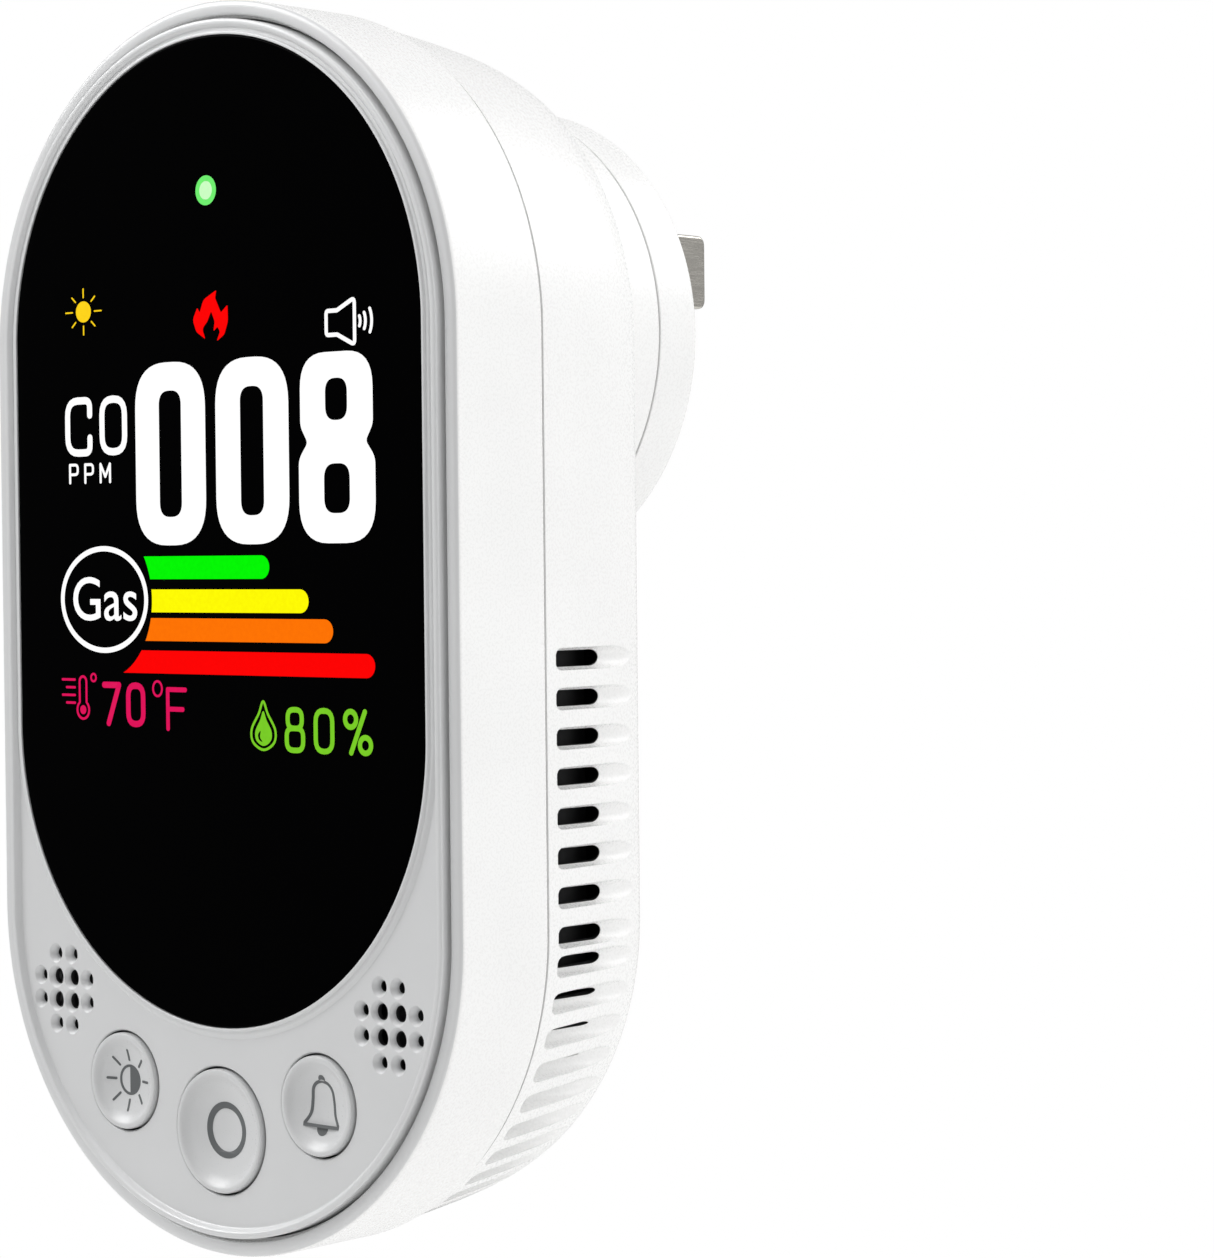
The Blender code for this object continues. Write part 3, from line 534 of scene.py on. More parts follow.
NODE_SURFACES = {
    "white_shell": WHITE,
    "panel_grey": SILVER,
    "button_grey": SATIN,
    "black_lens": LENS,
    "display_glass": surface("display_glass", (0.05, 0.06, 0.06), 0.15, cloud=0.1),
    "diffuser": surface("diffuser", (0.85, 0.88, 0.85), 0.4, cloud=0.03),
    "flex_amber": surface("flex_film", (0.5, 0.22, 0.04), 0.35, cloud=0.15, stretch=(1, 6, 1)),
    "black_plastic": surface("black_plastic", (0.02, 0.02, 0.021), 0.5, cloud=0.15),
    "board_black": surface("solder_mask", (0.01, 0.012, 0.011), 0.4, cloud=0.25, grain=0.5, relief=0.02),
    "sensor_steel": surface("drawn_steel", (0.56, 0.56, 0.55), 0.3, metallic=1.0, cloud=0.06,
                            stretch=(1, 8, 1)),
    "tape_yellow": surface("winding_tape", (0.8, 0.58, 0.08), 0.45, cloud=0.12, stretch=(6, 1, 1)),
    "varistor_blue": surface("epoxy_blue", (0.04, 0.14, 0.5), 0.3, cloud=0.15, relief=0.02),
    "contact_brass": surface("spring_brass", (0.75, 0.55, 0.25), 0.3, metallic=1.0, cloud=0.1,
                             stretch=(1, 8, 1)),
    "blade_nickel": NICKEL,
}
for part in frame["record"]["subparts"]:
    for holder in frame["nodes"][part["node"]].material_slots:
        holder.material = NODE_SURFACES[part["material_slot"]]


# ---------------------------------------------------------------- case
def from_axis(point):
    """How far a point in metres lies from the middle line of the capsule shape, and its depth."""
    x, height = point.x / MM, point.z / MM - MIDDLE_Z
    beyond = max(0.0, abs(height) - STRAIGHT)
    return hypot(x, beyond), point.y / MM - FACE_Y


def paint_inner_shade(shell, radius, front, back):
    """Paints shade: the faces within a radius and between two depths take a near-black colour that stands
    for the shade inside the case. The vent walls round the lower end and the mouth of the screw well stay
    white.
    """
    shell.data.materials.append(PAINTED_SHADE_BLACK)
    for face in shell.data.polygons:
        away, depth = from_axis(face.center)
        x, height = face.center.x / MM, face.center.z / MM - MIDDLE_Z
        well = hypot(x - SCREW_SPOT[0], height - SCREW_SPOT[1])
        reach = min(radius, RADIUS - WALL - 1.1) if height < -STRAIGHT - VENT_SHADE else radius
        if away < reach and front < depth < back and (well > SCREW_HOLE + 0.3 or depth < WELL_SHADE):
            face.material_index = 1


def case_front():
    """The white front shell: a rim with a rounded edge, the side wall and the shelf inside."""
    inner = RADIUS - WALL
    ledge, step = inner - 1.0, SHELF + 1.6
    corners = [
        (PANEL_RADIUS + GAP / 2, SHELF, 0),
        (PANEL_RADIUS + GAP / 2, GROOVE, 0),
        (RADIUS - RIM, GROOVE, 0.1),
        (RADIUS - RIM, 0, 0.18),
        (RADIUS, 0, 0.5),
        (RADIUS, SHELL_END, 0.4),
        (inner, SHELL_END, 0),
        (inner, step, 0),
        (ledge, step, 0),
        (ledge, SHELF, 0),
    ]
    shell = loft("case_front", filleted(corners), looped=True)
    polish(shell, WHITE, "housing", ["front_shell"])
    # Painted shade: the inside of the front shell behind the shelf is near-black.
    paint_inner_shade(shell, inner + 0.3, SHELF + 0.2, SHELL_END)
    # The rim's front faces, back to a small depth, take the panel's silver-grey colour, so the front of the
    # rim is darker than the white side wall.
    shell.data.materials.append(SILVER)
    for face in shell.data.polygons:
        if face.normal.y < -0.6 and from_axis(face.center)[1] < RIM_GREY_DEPTH:
            face.material_index = 2


def on_side(angle, height):
    """Places (depth, across, reach) outlines on the side wall, looking inwards at an angle."""
    a = radians(angle)

    def place(depth, across, reach):
        return spot(reach * cos(a) - across * sin(a), depth, height + reach * sin(a) + across * cos(a))

    return place


def vents():
    """Each side vent's place and half width: down both sides, then narrower round the lower end."""
    for i in range(VENT_STRAIGHT):
        height = VENT_FIRST - VENT_PITCH * i
        yield on_side(0, height), SLOT_HALF
        yield on_side(180, height), SLOT_HALF
    for i in range(1, VENT_ARC_STEPS):
        from_side = min(i, VENT_ARC_STEPS - i)
        half = max(SLOT_THIN, SLOT_HALF - SLOT_LOSS * from_side)
        yield on_side(-180 / VENT_ARC_STEPS * i, -STRAIGHT), half


def vent_scoop(place):
    """A bathtub-shaped cutter along the depth, whose floor meets the tapering wall at its far end."""
    front, base, half, over = VENT_FROM - 0.45, SCOOP_FLOOR, SCOOP_HALF, RADIUS + 1
    stations = [
        (front, half * 0.45, base + 0.7),
        (front + 0.15, half * 0.75, base + 0.35),
        (front + 0.45, half * 0.95, base + 0.08),
        (front + 0.9, half, base),
        (VENT_TO, half, base),
        (SCOOP_TO - 2.2, half, base + 0.13),
        (SCOOP_TO - 1.2, half * 0.93, base + 0.2),
        (SCOOP_TO - 0.5, half * 0.75, base + 0.25),
        (SCOOP_TO, half * 0.4, base + 0.32),
    ]
    bm = bmesh.new()
    loops = []
    for depth, wide, low in stations:
        bowl = [(wide * cos(a), low + wide * (1 - sin(a))) for a in (pi * k / 12 for k in range(13))]
        section = [(wide, over)] + bowl + [(-wide, over)]
        loops.append([bm.verts.new(place(depth, u, v)) for u, v in section])
    for low, high in zip(loops, loops[1:]):
        for k in range(len(low)):
            j = (k + 1) % len(low)
            bm.faces.new((low[k], low[j], high[j], high[k]))
    bm.faces.new(loops[0])
    bm.faces.new(loops[-1])
    return from_bmesh("scoop", bm)


def vent_slot(place, half):
    """A slot with round ends through the scoop's floor, longer on the inside of the wall."""
    end = 1.0
    turns = [radians(-90 + 12 * k) for k in range(16)]
    outline = [(VENT_TO - end + end * cos(a), half * sin(a)) for a in turns]
    outline += [(VENT_FROM + end - end * cos(a), -half * sin(a)) for a in turns]

    def undercut(u, v, level):
        return place(VENT_FROM + (u - VENT_FROM) * (1 + 0.16 * (RADIUS - 1.8 - level)), v, level)

    return prism("slot", outline, RADIUS - 4.0, RADIUS - 1.3, undercut)


def collar():
    """The ring that the plug head turns on, with a soft foot where it leaves the back."""
    spigot, bore, undercut = 16.5, 15.4, 17.8
    foot, seam = BACK - RECESS, PLUG_SPLIT - 0.1
    profile = [
        (PLUG_RADIUS + 0.9, foot - 0.4),
        (PLUG_RADIUS + 0.9, foot),
        (PLUG_RADIUS + 0.45, foot + 0.08),
        (PLUG_RADIUS + 0.15, foot + 0.32),
        (PLUG_RADIUS, foot + 0.8),
        (PLUG_RADIUS, PLUG_SPLIT - 0.2),
        (PLUG_RADIUS - 0.1, seam),
        (spigot, seam),
        (spigot, COLLAR_TOP),
        (bore, COLLAR_TOP),
        (bore, COLLAR_TOP - 1.6),
        (undercut, COLLAR_TOP - 1.6),
        (undercut, foot - 0.4),
    ]
    return turned("collar", profile, 0, PLUG_HEIGHT, 160, looped=True)


def label_cutters():
    """The round recess for a rating label, with a groove along its edge and a moulding gate's mark."""
    back = BACK - RECESS
    recess = [(LABEL_RADIUS - 0.36, LABEL_FLOOR), (LABEL_RADIUS - 0.28, LABEL_FLOOR - 0.25),
              (LABEL_RADIUS, LABEL_FLOOR - 0.25), (LABEL_RADIUS, back - 0.08),
              (LABEL_RADIUS + 0.12, back), (LABEL_RADIUS + 0.12, BACK)]
    outer, inner, under, over = 1.7, 1.45, LABEL_FLOOR - 0.12, LABEL_FLOOR + 0.2
    gate = [(outer, under), (outer, over), (inner, over), (inner, under)]
    yield turned("label", recess, 0, LABEL_HEIGHT, 144)
    yield turned("gate_mark", gate, 0, LABEL_HEIGHT, 40, looped=True)


def latch_cutters():
    """The round well that the latch stands in, and its way under the collar to the plug head."""
    back = BACK - RECESS
    x, z = along(LATCH_ANGLE, LATCH_REACH + 0.15)
    well = [(WELL_RADIUS, BACK - 3), (WELL_RADIUS, back - 0.2), (WELL_RADIUS + 0.25, back + 0.02),
            (WELL_RADIUS + 0.25, BACK + 0.8)]
    notch = box_outline(LATCH_REACH / 2 + 8, 0, LATCH_REACH - 16, 2 * LATCH_RADIUS + 0.55, 0.3)
    yield turned("latch_well", well, x, z, 64)
    yield prism("latch_notch", notch, BACK - 2, COLLAR_TOP + 2, spot_along)


def screw_parts():
    """The screw post inside the back, and the cutter for its well."""
    inside = BACK - WALL
    post = [(3.4, inside - 8.5), (3.4, inside + 0.3)]
    well = [(SCREW_HOLE, 14.0), (SCREW_HOLE, WELL_SHADE), (SCREW_HOLE, LABEL_FLOOR - 0.15),
            (SCREW_HOLE + 0.15, LABEL_FLOOR), (SCREW_HOLE + 0.15, BACK)]
    return turned("screw_post", post, *SCREW_SPOT, 32), turned("screw_well", well, *SCREW_SPOT, 48)


def case_rear():
    """The white rear shell: tapering wall, bordered back, collar, latch well, label recess and vents."""
    taper = [(25.72, 9.75), (25.38, 12.8), (24.9, 17.0), (24.4, 20.3), (23.85, 22.2)]
    wall = smooth(taper, 4, closed=False)
    outer = [(BACK_RADIUS - BORDER, BACK), (BACK_RADIUS - 0.5, BACK), (BACK_RADIUS, BACK - 0.08),
             (23.4, BACK - 0.3), (23.66, BACK - 0.64)] + wall[::-1]
    lip = [(24.0, 9.75), (24.0, 8.2), (22.9, 8.2), (22.9, 12.0)]
    inner = [(r - WALL, d) for r, d in wall if 12.5 < d < BACK - WALL] + [(21.9, BACK - WALL)]
    shell = loft("case_rear", outer + lip + inner)
    cut(shell, prism("border", capsule(BACK_RADIUS - BORDER), BACK - RECESS, BACK + 1, facing))
    add(shell, collar())
    cut(shell, *label_cutters())
    post, well = screw_parts()
    add(shell, post)
    cut(shell, well)
    cut(shell, *latch_cutters())
    cut(shell, merged("scoops", [vent_scoop(place) for place, _ in vents()]))
    cut(shell, merged("slots", [vent_slot(place, half) for place, half in vents()]))
    polish(shell, WHITE, "housing", ["rear_shell"])
    # Painted shade: the inside of the rear shell, the vent walls along the sides and the deep part of the
    # screw well are near-black.
    paint_inner_shade(shell, 23.88, 8.4, BACK - WALL + 0.1)


def vent_shade_sheet():
    """Painted shade: a near-black sheet along the inside of the wall behind the vents, which keeps the
    inside dark through them.
    """
    inner, outer, front, back = 21.6, 21.9, VENT_FROM + 0.5, VENT_TO + 1.0
    profile = [(outer, front), (outer, back), (inner, back), (inner, front)]
    screen = loft("vent_shade_sheet", profile, looped=True)
    polish(screen, PAINTED_SHADE_BLACK, "housing")


# ---------------------------------------------------------------- front panel, lens and buttons
def lens_outline(radius):
    return capsule(radius, LENS_TOP, LENS_BOTTOM)


def grille_spots():
    """The holes of one grille: a square grid without its corners, as offset x, offset height, inner."""
    steps = (-1.5, -0.5, 0.5, 1.5)
    for i in steps:
        for j in steps:
            if abs(i) + abs(j) < 3:
                yield i * GRILLE_PITCH, j * GRILLE_PITCH, abs(i) + abs(j) < 2


def grille_cutter(x, height, inner):
    """A countersunk hole: a wide one in the middle of the grille, a dimple with a pinhole round it."""
    bore, mouth, deep = (0.62, 0.9, 0.45) if inner else (0.4, 0.78, 0.62)
    flare = [(bore + (mouth - bore) * t ** 1.7, PANEL_FLAT + deep * (1 - t)) for t in (0, 0.35, 0.7, 1.0)]
    ahead = [(mouth + 0.12, PANEL_FLAT - 0.06), (mouth + 0.3, PANEL_FRONT - 0.5)]
    return turned("grille_hole", [(bore, PANEL_BACK + 0.5)] + flare + ahead, x, height, 24)


def button_place(name):
    """A button's x, height and cap radius."""
    low, high = extent(name)
    return *centre(name), (high.x - low.x) / 2 - BUTTON_FLANGE


BUTTONS = ("brightness_button", "power_button", "alarm_button")


def front_bezel():
    """The silver panel: a ridge along its edge, a beaded lip round the lens, grilles and holes."""
    corners = [
        (PANEL_RADIUS, PANEL_BACK, 0),
        (PANEL_RADIUS, PANEL_FRONT, 0.3),
        (PANEL_RADIUS - 0.5, PANEL_FRONT, 0.2),
        (PANEL_RADIUS - 0.78, PANEL_FLAT, 0.15),
        (PANEL_RADIUS - 1.6, PANEL_FLAT, 0),
    ]
    bezel = loft("front_bezel", filleted(corners, closed=False))
    lip = [
        (LENS_RADIUS - 0.1, 0.8, 0),
        (LENS_RADIUS - 0.1, -0.5, 0.1),
        (LENS_RADIUS + 0.28, -0.5, 0.12),
        (LENS_RADIUS + 0.36, -0.34, 0.03),
        (LENS_RADIUS + 0.62, -0.34, 0.14),
        (LENS_RADIUS + 0.95, PANEL_FLAT + 0.02, 0.1),
        (LENS_RADIUS + 0.95, 0.8, 0),
    ]
    add(bezel, loft("lens_lip", filleted(lip), lens_outline, looped=True))
    seat = [(LENS_RADIUS + 0.06, LENS_BACK + 0.3), (LENS_RADIUS + 0.06, PANEL_FRONT - 1)]
    cut(bezel, loft("lens_seat", seat, lens_outline))
    window = [(LENS_RADIUS - 1.35, PANEL_BACK + 1), (LENS_RADIUS - 1.35, 0)]
    cut(bezel, loft("window", window, lens_outline))
    for name in BUTTONS:
        x, z, radius = button_place(name)
        hole = radius + 0.24
        edge = [(hole, PANEL_BACK + 1), (hole, PANEL_FLAT + 0.2), (hole + 0.1, PANEL_FLAT + 0.04),
                (hole + 0.3, PANEL_FLAT - 0.02), (hole + 0.3, -1.5)]
        cut(bezel, turned("button_hole", edge, x, z, 96))
    holes = []
    for side in (-1, 1):
        for dx, dz, inner in grille_spots():
            holes.append(grille_cutter(side * GRILLE_X + dx, GRILLE_HEIGHT + dz, inner))
    cut(bezel, merged("grilles", holes))
    for side in (-1, 1):
        pocket = [(4.7, PANEL_FLAT + 0.85), (4.7, PANEL_BACK + 1)]
        cut(bezel, turned("grille_pocket", pocket, side * GRILLE_X, GRILLE_HEIGHT, 48))
    polish(bezel, SILVER, "housing", ["front_panel"])
    # Painted shade: the walls of the panel's holes and its back, more than about half a millimetre behind
    # its face, are near-black.
    paint_inner_shade(bezel, PANEL_RADIUS - 0.1, PANEL_FLAT + 0.6, PANEL_BACK + 1)


def lens():
    corners = [(LENS_RADIUS, LENS_BACK, 0), (LENS_RADIUS, LENS_FRONT, 0.12),
               (LENS_RADIUS - 0.8, LENS_FRONT, 0)]
    glass = loft("black_lens", filleted(corners, closed=False), lens_outline)
    polish(glass, LENS, "housing", ["display_lens"])


def dish_depth(radius, away):
    """How far a button's dished face lies behind its rim, at a distance from its middle."""
    bowl = radius - 0.72
    if away >= bowl:
        return 0.34
    return 0.34 + radius * 0.17 * (1 - (away / bowl) ** 2)


def button_profile(radius, front, back):
    """A cap with a rounded rim, a steep inner slope and a shallow dish."""
    rim = radius + 0.1
    bowl = (radius - 0.72) / 8
    profile = [(bowl * k, front + dish_depth(radius, bowl * k)) for k in range(1, 9)]
    profile += [(radius - 0.52, front + 0.17), (radius - 0.34, front + 0.05), (radius - 0.14, front)]
    profile += [(radius + 0.02, front + 0.06), (rim, front + 0.24), (rim, PANEL_BACK + 0.4)]
    flange, stem = radius + BUTTON_FLANGE, 1.5
    profile += [(flange, PANEL_BACK + 0.4), (flange, PANEL_BACK + 1.3)]
    return profile + [(stem, PANEL_BACK + 1.3), (stem, back)]


def buttons():
    for name in BUTTONS:
        low, high = extent(name)
        x, z, radius = button_place(name)
        cap = turned(name + "_cap", button_profile(radius, low.y - FACE_Y, high.y - FACE_Y), x, z, 96)
        polish(cap, SATIN, name, [name], crease=40)


def ink(name, outlines, x, height, depth, material, body):
    """Printing on a front face, about a middle point; it is sunk a little into the face."""
    moved = [[(x + u, height + v) for u, v in outline] for outline in outlines]
    printed = plate(name, moved, depth - INK_THICK, depth + INK_SINK)
    return polish(printed, material, body)


def button_ink(name, button, outlines):
    """An icon that follows its button's dished face."""
    front = extent(button)[0].y - FACE_Y
    x, z, radius = button_place(button)
    printed = ink(name, outlines, x, z, front, INK, button)
    for vert in printed.data.vertices:
        away = hypot(vert.co.x / MM - x, vert.co.z / MM - MIDDLE_Z - z)
        vert.co.y += dish_depth(radius, away) * MM


def button_icons():
    """A ring, a half-filled sun and a bell, in thin dark lines."""
    button_ink("power_icon", "power_button", stroke(circle(0, 0, 1.95), 0.52, closed=True))
    sun = stroke(circle(0, 0, 1.12), 0.2, closed=True)
    for i in range(8):
        a = radians(45 * i)
        sun += stroke([((1.6 + 0.2 * k) * cos(a), (1.6 + 0.2 * k) * sin(a)) for k in range(5)], 0.2)
    button_ink("brightness_icon", "brightness_button", sun)
    button_ink("brightness_icon_half", "brightness_button", [arc(0, 0, 1.1, -90, 90)])
    right = [(0.0, 1.85), (0.6, 1.68), (1.02, 1.2), (1.16, 0.3), (1.32, -0.7), (1.9, -1.55)]
    bell = smooth(right, 5, closed=False)
    bell += [(-u, v) for u, v in bell[::-1]][:-1]
    knob = arc(0, 2.0, 0.34, -25, 205, 12)
    button_ink("alarm_icon", "alarm_button", stroke(bell, 0.25, closed=True) + [knob])
    button_ink("alarm_icon_clapper", "alarm_button", [arc(0, -1.72, 0.58, 180, 360, 16)])


# ---------------------------------------------------------------- what the display shows
def lit(name, outlines, x, height, material):
    return ink(name, outlines, x, height, LENS_FRONT, material, "housing")


def lit_text(name, text, x, height, width, tall, material, weight):
    """Flat lettering fitted to a box given by its lowest left corner and size."""
    made = letters(name, text, weight)
    high = corner(made, max)
    size = Matrix.Diagonal((width / high.x * MM, tall / high.y * MM, INK_THICK / high.z * MM, 1))
    turn = Matrix.Rotation(pi / 2, 4, "X")
    made.data.transform(Matrix.Translation(spot(x, LENS_FRONT + 0.01, height)) @ turn @ size)
    return polish(made, material, "housing")


def zero(width, tall):
    hole = box_outline(0, 0, width * 0.32, tall * 0.69, width * 0.14)
    return [box_outline(0, 0, width, tall, width * 0.44), hole]


def eight(width, tall):
    half, waist, turn = width / 2, width * 0.095, width * 0.42
    upper, middle = half * 0.95, tall * 0.03
    right = [
        (half, -tall / 2, turn),
        (half, middle - waist * 1.6, waist * 2),
        (upper - waist, middle, waist * 0.6),
        (upper, middle + waist * 1.6, waist * 2),
        (upper, tall / 2, turn),
    ]
    left = [(-u, v, radius) for u, v, radius in right[::-1]]
    holes = [box_outline(0, tall * 0.253, width * 0.29, tall * 0.22, width * 0.13),
             box_outline(0, tall * -0.213, width * 0.34, tall * 0.26, width * 0.14)]
    return [filleted(right + left, steps=8)] + holes


def thin_glyphs(wide):
    """Centre lines of plain upright characters one unit tall, as (points, closed) by name."""
    turn = 0.3
    ring = [(wide, 1, turn), (0, 1, turn), (0, 0, turn), (wide, 0, turn)]
    hook = [(wide, 0.72, 0)] + ring + [(wide, 0.28, 0)]
    near, far = wide * 0.07, wide * 0.93
    upper = [(far, 1, 0.2), (near, 1, 0.2), (near, 0.54, 0.2), (far, 0.54, 0.2)]
    lower = [(wide, 0.54, 0.2), (0, 0.54, 0.2), (0, 0, 0.22), (wide, 0, 0.22)]
    bowl = [(0, 1, 0), (wide, 1, 0.22), (wide, 0.46, 0.22), (0, 0.46, 0)]
    zigzag = [(0, 0), (0, 1), (wide * 0.6, 0.3), (wide * 1.2, 1), (wide * 1.2, 0)]
    dots = [circle(0.19, 0.81, 0.19, 24), circle(0.69, 0.19, 0.19, 24)]
    return {
        "O": [(filleted(ring), True)],
        "0": [(filleted(ring), True)],
        "C": [(filleted(hook, closed=False), False)],
        "7": [([(0, 1), (wide, 1)], False), ([(wide, 1), (wide * 0.28, 0)], False)],
        "8": [(filleted(upper), True), (filleted(lower), True)],
        "F": [([(0, 0), (0, 1)], False), ([(0, 1), (wide * 0.85, 1)], False),
              ([(0, 0.5), (wide * 0.72, 0.5)], False)],
        "P": [([(0, 0), (0, 1)], False), (filleted(bowl, closed=False), False)],
        "M": [(list(ends), False) for ends in zip(zigzag, zigzag[1:])],
        "%": [(dot, True) for dot in dots] + [([(0.2, 0), (0.68, 1)], False)],
    }


def thin_text(name, text, x, height, tall, wide, line, spacing, material):
    """Characters drawn with an even line from a lowest left corner, each piece of line its own solid."""
    glyphs = thin_glyphs(wide)
    size = tall - line
    solids = []
    for character in text:
        reach = 0
        for path, closed in glyphs[character]:
            scaled = [(x + line / 2 + u * size, height + line / 2 + v * size) for u, v in path]
            outlines = stroke(scaled, line, closed)
            solids.append(plate(name, outlines, LENS_FRONT - INK_THICK, LENS_FRONT + INK_SINK))
            reach = max([reach] + [u - x + line / 2 for u, _ in scaled])
        x += reach + spacing
    return polish(merged(name, solids), material, "housing")


def readout():
    """The gas reading in heavy rounded digits, with its unit."""
    width, tall, middle = 8.1, 14.3, 13.8
    lit("digit_hundreds", zero(width, tall), -4.45, middle, GLOW_WHITE)
    lit("digit_tens", zero(width, tall), 4.85, middle, GLOW_WHITE)
    lit("digit_units", eight(width, tall), 14.05, middle, GLOW_WHITE)
    thin_text("gas_name", "CO", -17.0, 13.85, 4.75, 0.65, 0.58, 0.9, GLOW_WHITE)
    thin_text("gas_unit", "PPM", -16.6, 11.65, 1.65, 0.66, 0.22, 0.7, GLOW_WHITE)


def level_bars():
    """Four bars of growing length beside the round badge, cut by a circle that follows it."""
    badge = (-12.55, 2.4)
    bars = (("level_green", 4.9, 6.6, GLOW_GREEN), ("level_yellow", 2.3, 10.85, GLOW_YELLOW),
            ("level_orange", 0.05, 13.45, GLOW_ORANGE), ("level_red", -2.5, 17.85, GLOW_RED))
    half, clear, tall = 0.9, 5.75, 6.3
    for name, middle, end, colour in bars:
        near = [(badge[0] + clear * (1 - ((v - badge[1]) / tall) ** 2) ** 0.5, v)
                for v in [middle - half + 2 * half * i / 8 for i in range(9)]]
        cap = arc(end - half, middle, half, 90, -90, 14)
        lit(name, [near + cap], 0, 0, colour)
    lit("badge_ring", stroke(ellipse(0, 0, 5.05, 4.05), 0.42, closed=True), *badge, GLOW_WHITE)
    lit_text("badge_text", "Gas", -16.3, 0.7, 7.7, 3.5, GLOW_WHITE, 0.003)


def sun_icon():
    squash = 0.85
    rays = []
    for i in range(8):
        a = radians(45 * i)
        reach = 2.15 if i % 2 == 0 else 1.95
        rays += stroke([(t * cos(a), t * sin(a) * squash) for t in (1.35, reach)], 0.12)
    lit("sun_icon", [ellipse(0, 0, 0.9, 0.84)] + rays, -14.6, 25.4, GLOW_SUN)


def flame_icon():
    """Three tongues over a notched hollow."""
    outer = [
        (0.7, 1.95, 0.06), (0.55, 1.35, 0.4), (1.2, 0.2, 0.1), (1.95, 0.75, 0.06), (1.98, -0.5, 1.2),
        (1.55, -1.5, 0.6), (0.7, -1.98, 0.05), (1.1, -1.25, 0.3), (0.8, -0.85, 0.15), (0.35, -1.2, 0.05),
        (0.5, -0.45, 0.4), (0.1, 0.4, 0.12), (-0.35, -0.4, 0.4), (-0.95, -0.95, 0.4), (-0.6, -1.75, 0.05),
        (-1.6, -1.15, 0.7), (-2.0, -0.2, 0.6), (-1.48, 0.7, 0.06), (-1.2, 0.3, 0.08), (-0.75, 1.3, 0.8),
    ]
    lit("flame_icon", [filleted(outer, steps=6)], 0.35, 24.3, GLOW_RED)


def speaker_icon():
    upper = [(-2.5, 0.9, 0.25), (-1.35, 0.9, 0.25), (0.5, 1.75, 0.25)]
    lower = [(u, -v, radius) for u, v, radius in upper[::-1]]
    shape = stroke(filleted(upper + lower), 0.32, closed=True)
    for radius in (0.85, 1.4, 2.05):
        shape += stroke(arc(0.25, 0, radius, -25, 25, 12), 0.26)
    lit("speaker_icon", shape, 15.6, 23.1, GLOW_WHITE)


def climate_rows():
    """Temperature and humidity under the bars, each with a small icon of its own."""
    tube = arc(0, -1.05, 0.72, 125, 415, 20) + arc(0, 1.2, 0.42, 0, 180, 10)
    stem = stroke(tube, 0.2, closed=True) + [circle(0, -1.05, 0.36, 20)]
    for i, length in enumerate((1.5, 1.0, 1.5, 1.0)):
        height = 1.35 - 0.62 * i
        stem += stroke([(-1.0 - length, height), (-1.0, height)], 0.2)
    stem += stroke(circle(1.3, 1.55, 0.3, 20), 0.17, closed=True)
    lit("thermometer_icon", stem, -15.25, -5.4, GLOW_PINK)
    thin_text("temperature", "70", -12.9, -7.7, 3.55, 0.58, 0.5, 0.6, GLOW_PINK)
    lit("degree_mark", stroke(ellipse(0, 0, 0.52, 0.58), 0.18, closed=True), -6.3, -4.6, GLOW_PINK)
    thin_text("temperature_unit", "F", -5.3, -7.9, 3.45, 0.78, 0.38, 0.6, GLOW_PINK)
    right = [(0, 1.75), (0.5, 0.8), (1.3, -0.4), (1.15, -1.4)]
    left = [(-u, v) for u, v in right[:0:-1]]
    drop = smooth(right + [(0, -1.95)] + left, 6)
    core = [(u * 0.68, v * 0.72 - 0.25) for u, v in drop]
    glint = smooth([(-0.62, -0.8), (-0.3, -0.5), (-0.36, -1.0), (-0.1, -1.35), (-0.5, -1.2)], 5)
    lit("drop_icon", stroke(drop, 0.2, closed=True) + [core, glint], 5.75, -7.1, GLOW_LIME)
    thin_text("humidity", "80%", 8.1, -9.2, 3.5, 0.58, 0.42, 0.95, GLOW_LIME)


def status_light():
    lit("status_light", [circle(0, 0, 1.15), circle(0, 0, 0.72)], 0.0, 34.0, GLOW_LED)
    lit("status_light_core", [circle(0, 0, 0.71)], 0.0, 34.0, GLOW_CORE)


# ---------------------------------------------------------------- plug head
def behind(angle, radius):
    """A matrix that lays flat lettering on the plug face, its tops outwards, as seen from behind."""
    a = radians(angle)
    out = Vector((cos(a), 0, sin(a)))
    on = Vector((-sin(a), 0, cos(a)))
    rear = Vector((0, 1, 0))
    middle = spot(radius * cos(a), PLUG_FACE, PLUG_HEIGHT + radius * sin(a))
    return Matrix.Translation(middle) @ Matrix((on, out, rear)).transposed().to_4x4()


def raised_word(word, radius, start, step, tall):
    """Raised letters along an arc of the plug face, read in the direction of growing angle."""
    made = []
    for i, character in enumerate(word):
        glyph = letters("glyph", character)
        high = corner(glyph, max)
        scale = tall / high.y * MM
        thick = (MARK_RISE + MARK_SINK) / high.z * MM
        size = Matrix.Diagonal((scale, scale, thick, 1)) @ Matrix.Translation((-high.x / 2, 0, 0))
        sunk = Matrix.Translation((0, 0, -MARK_SINK * MM))
        glyph.data.transform(behind(start + step * i, radius) @ sunk @ size)
        made.append(glyph)
    return made


def raised_arrow(name, radius, start, end):
    """A raised arc with an arrowhead at its end."""
    def place(u, v, level):
        a = radians(u)
        return spot((radius + v) * cos(a), PLUG_FACE + level, PLUG_HEIGHT + (radius + v) * sin(a))

    way = 1 if end > start else -1
    tip = 7 * way
    steps = [start + (end - start) * i / 8 for i in range(9)]
    head = [(end, -1.0), (end + tip, 0.0), (end, 1.0)]
    outline = [(u, -0.2) for u in steps] + head + [(u, 0.2) for u in reversed(steps)]
    return prism(name, outline, -MARK_SINK, MARK_RISE, place)


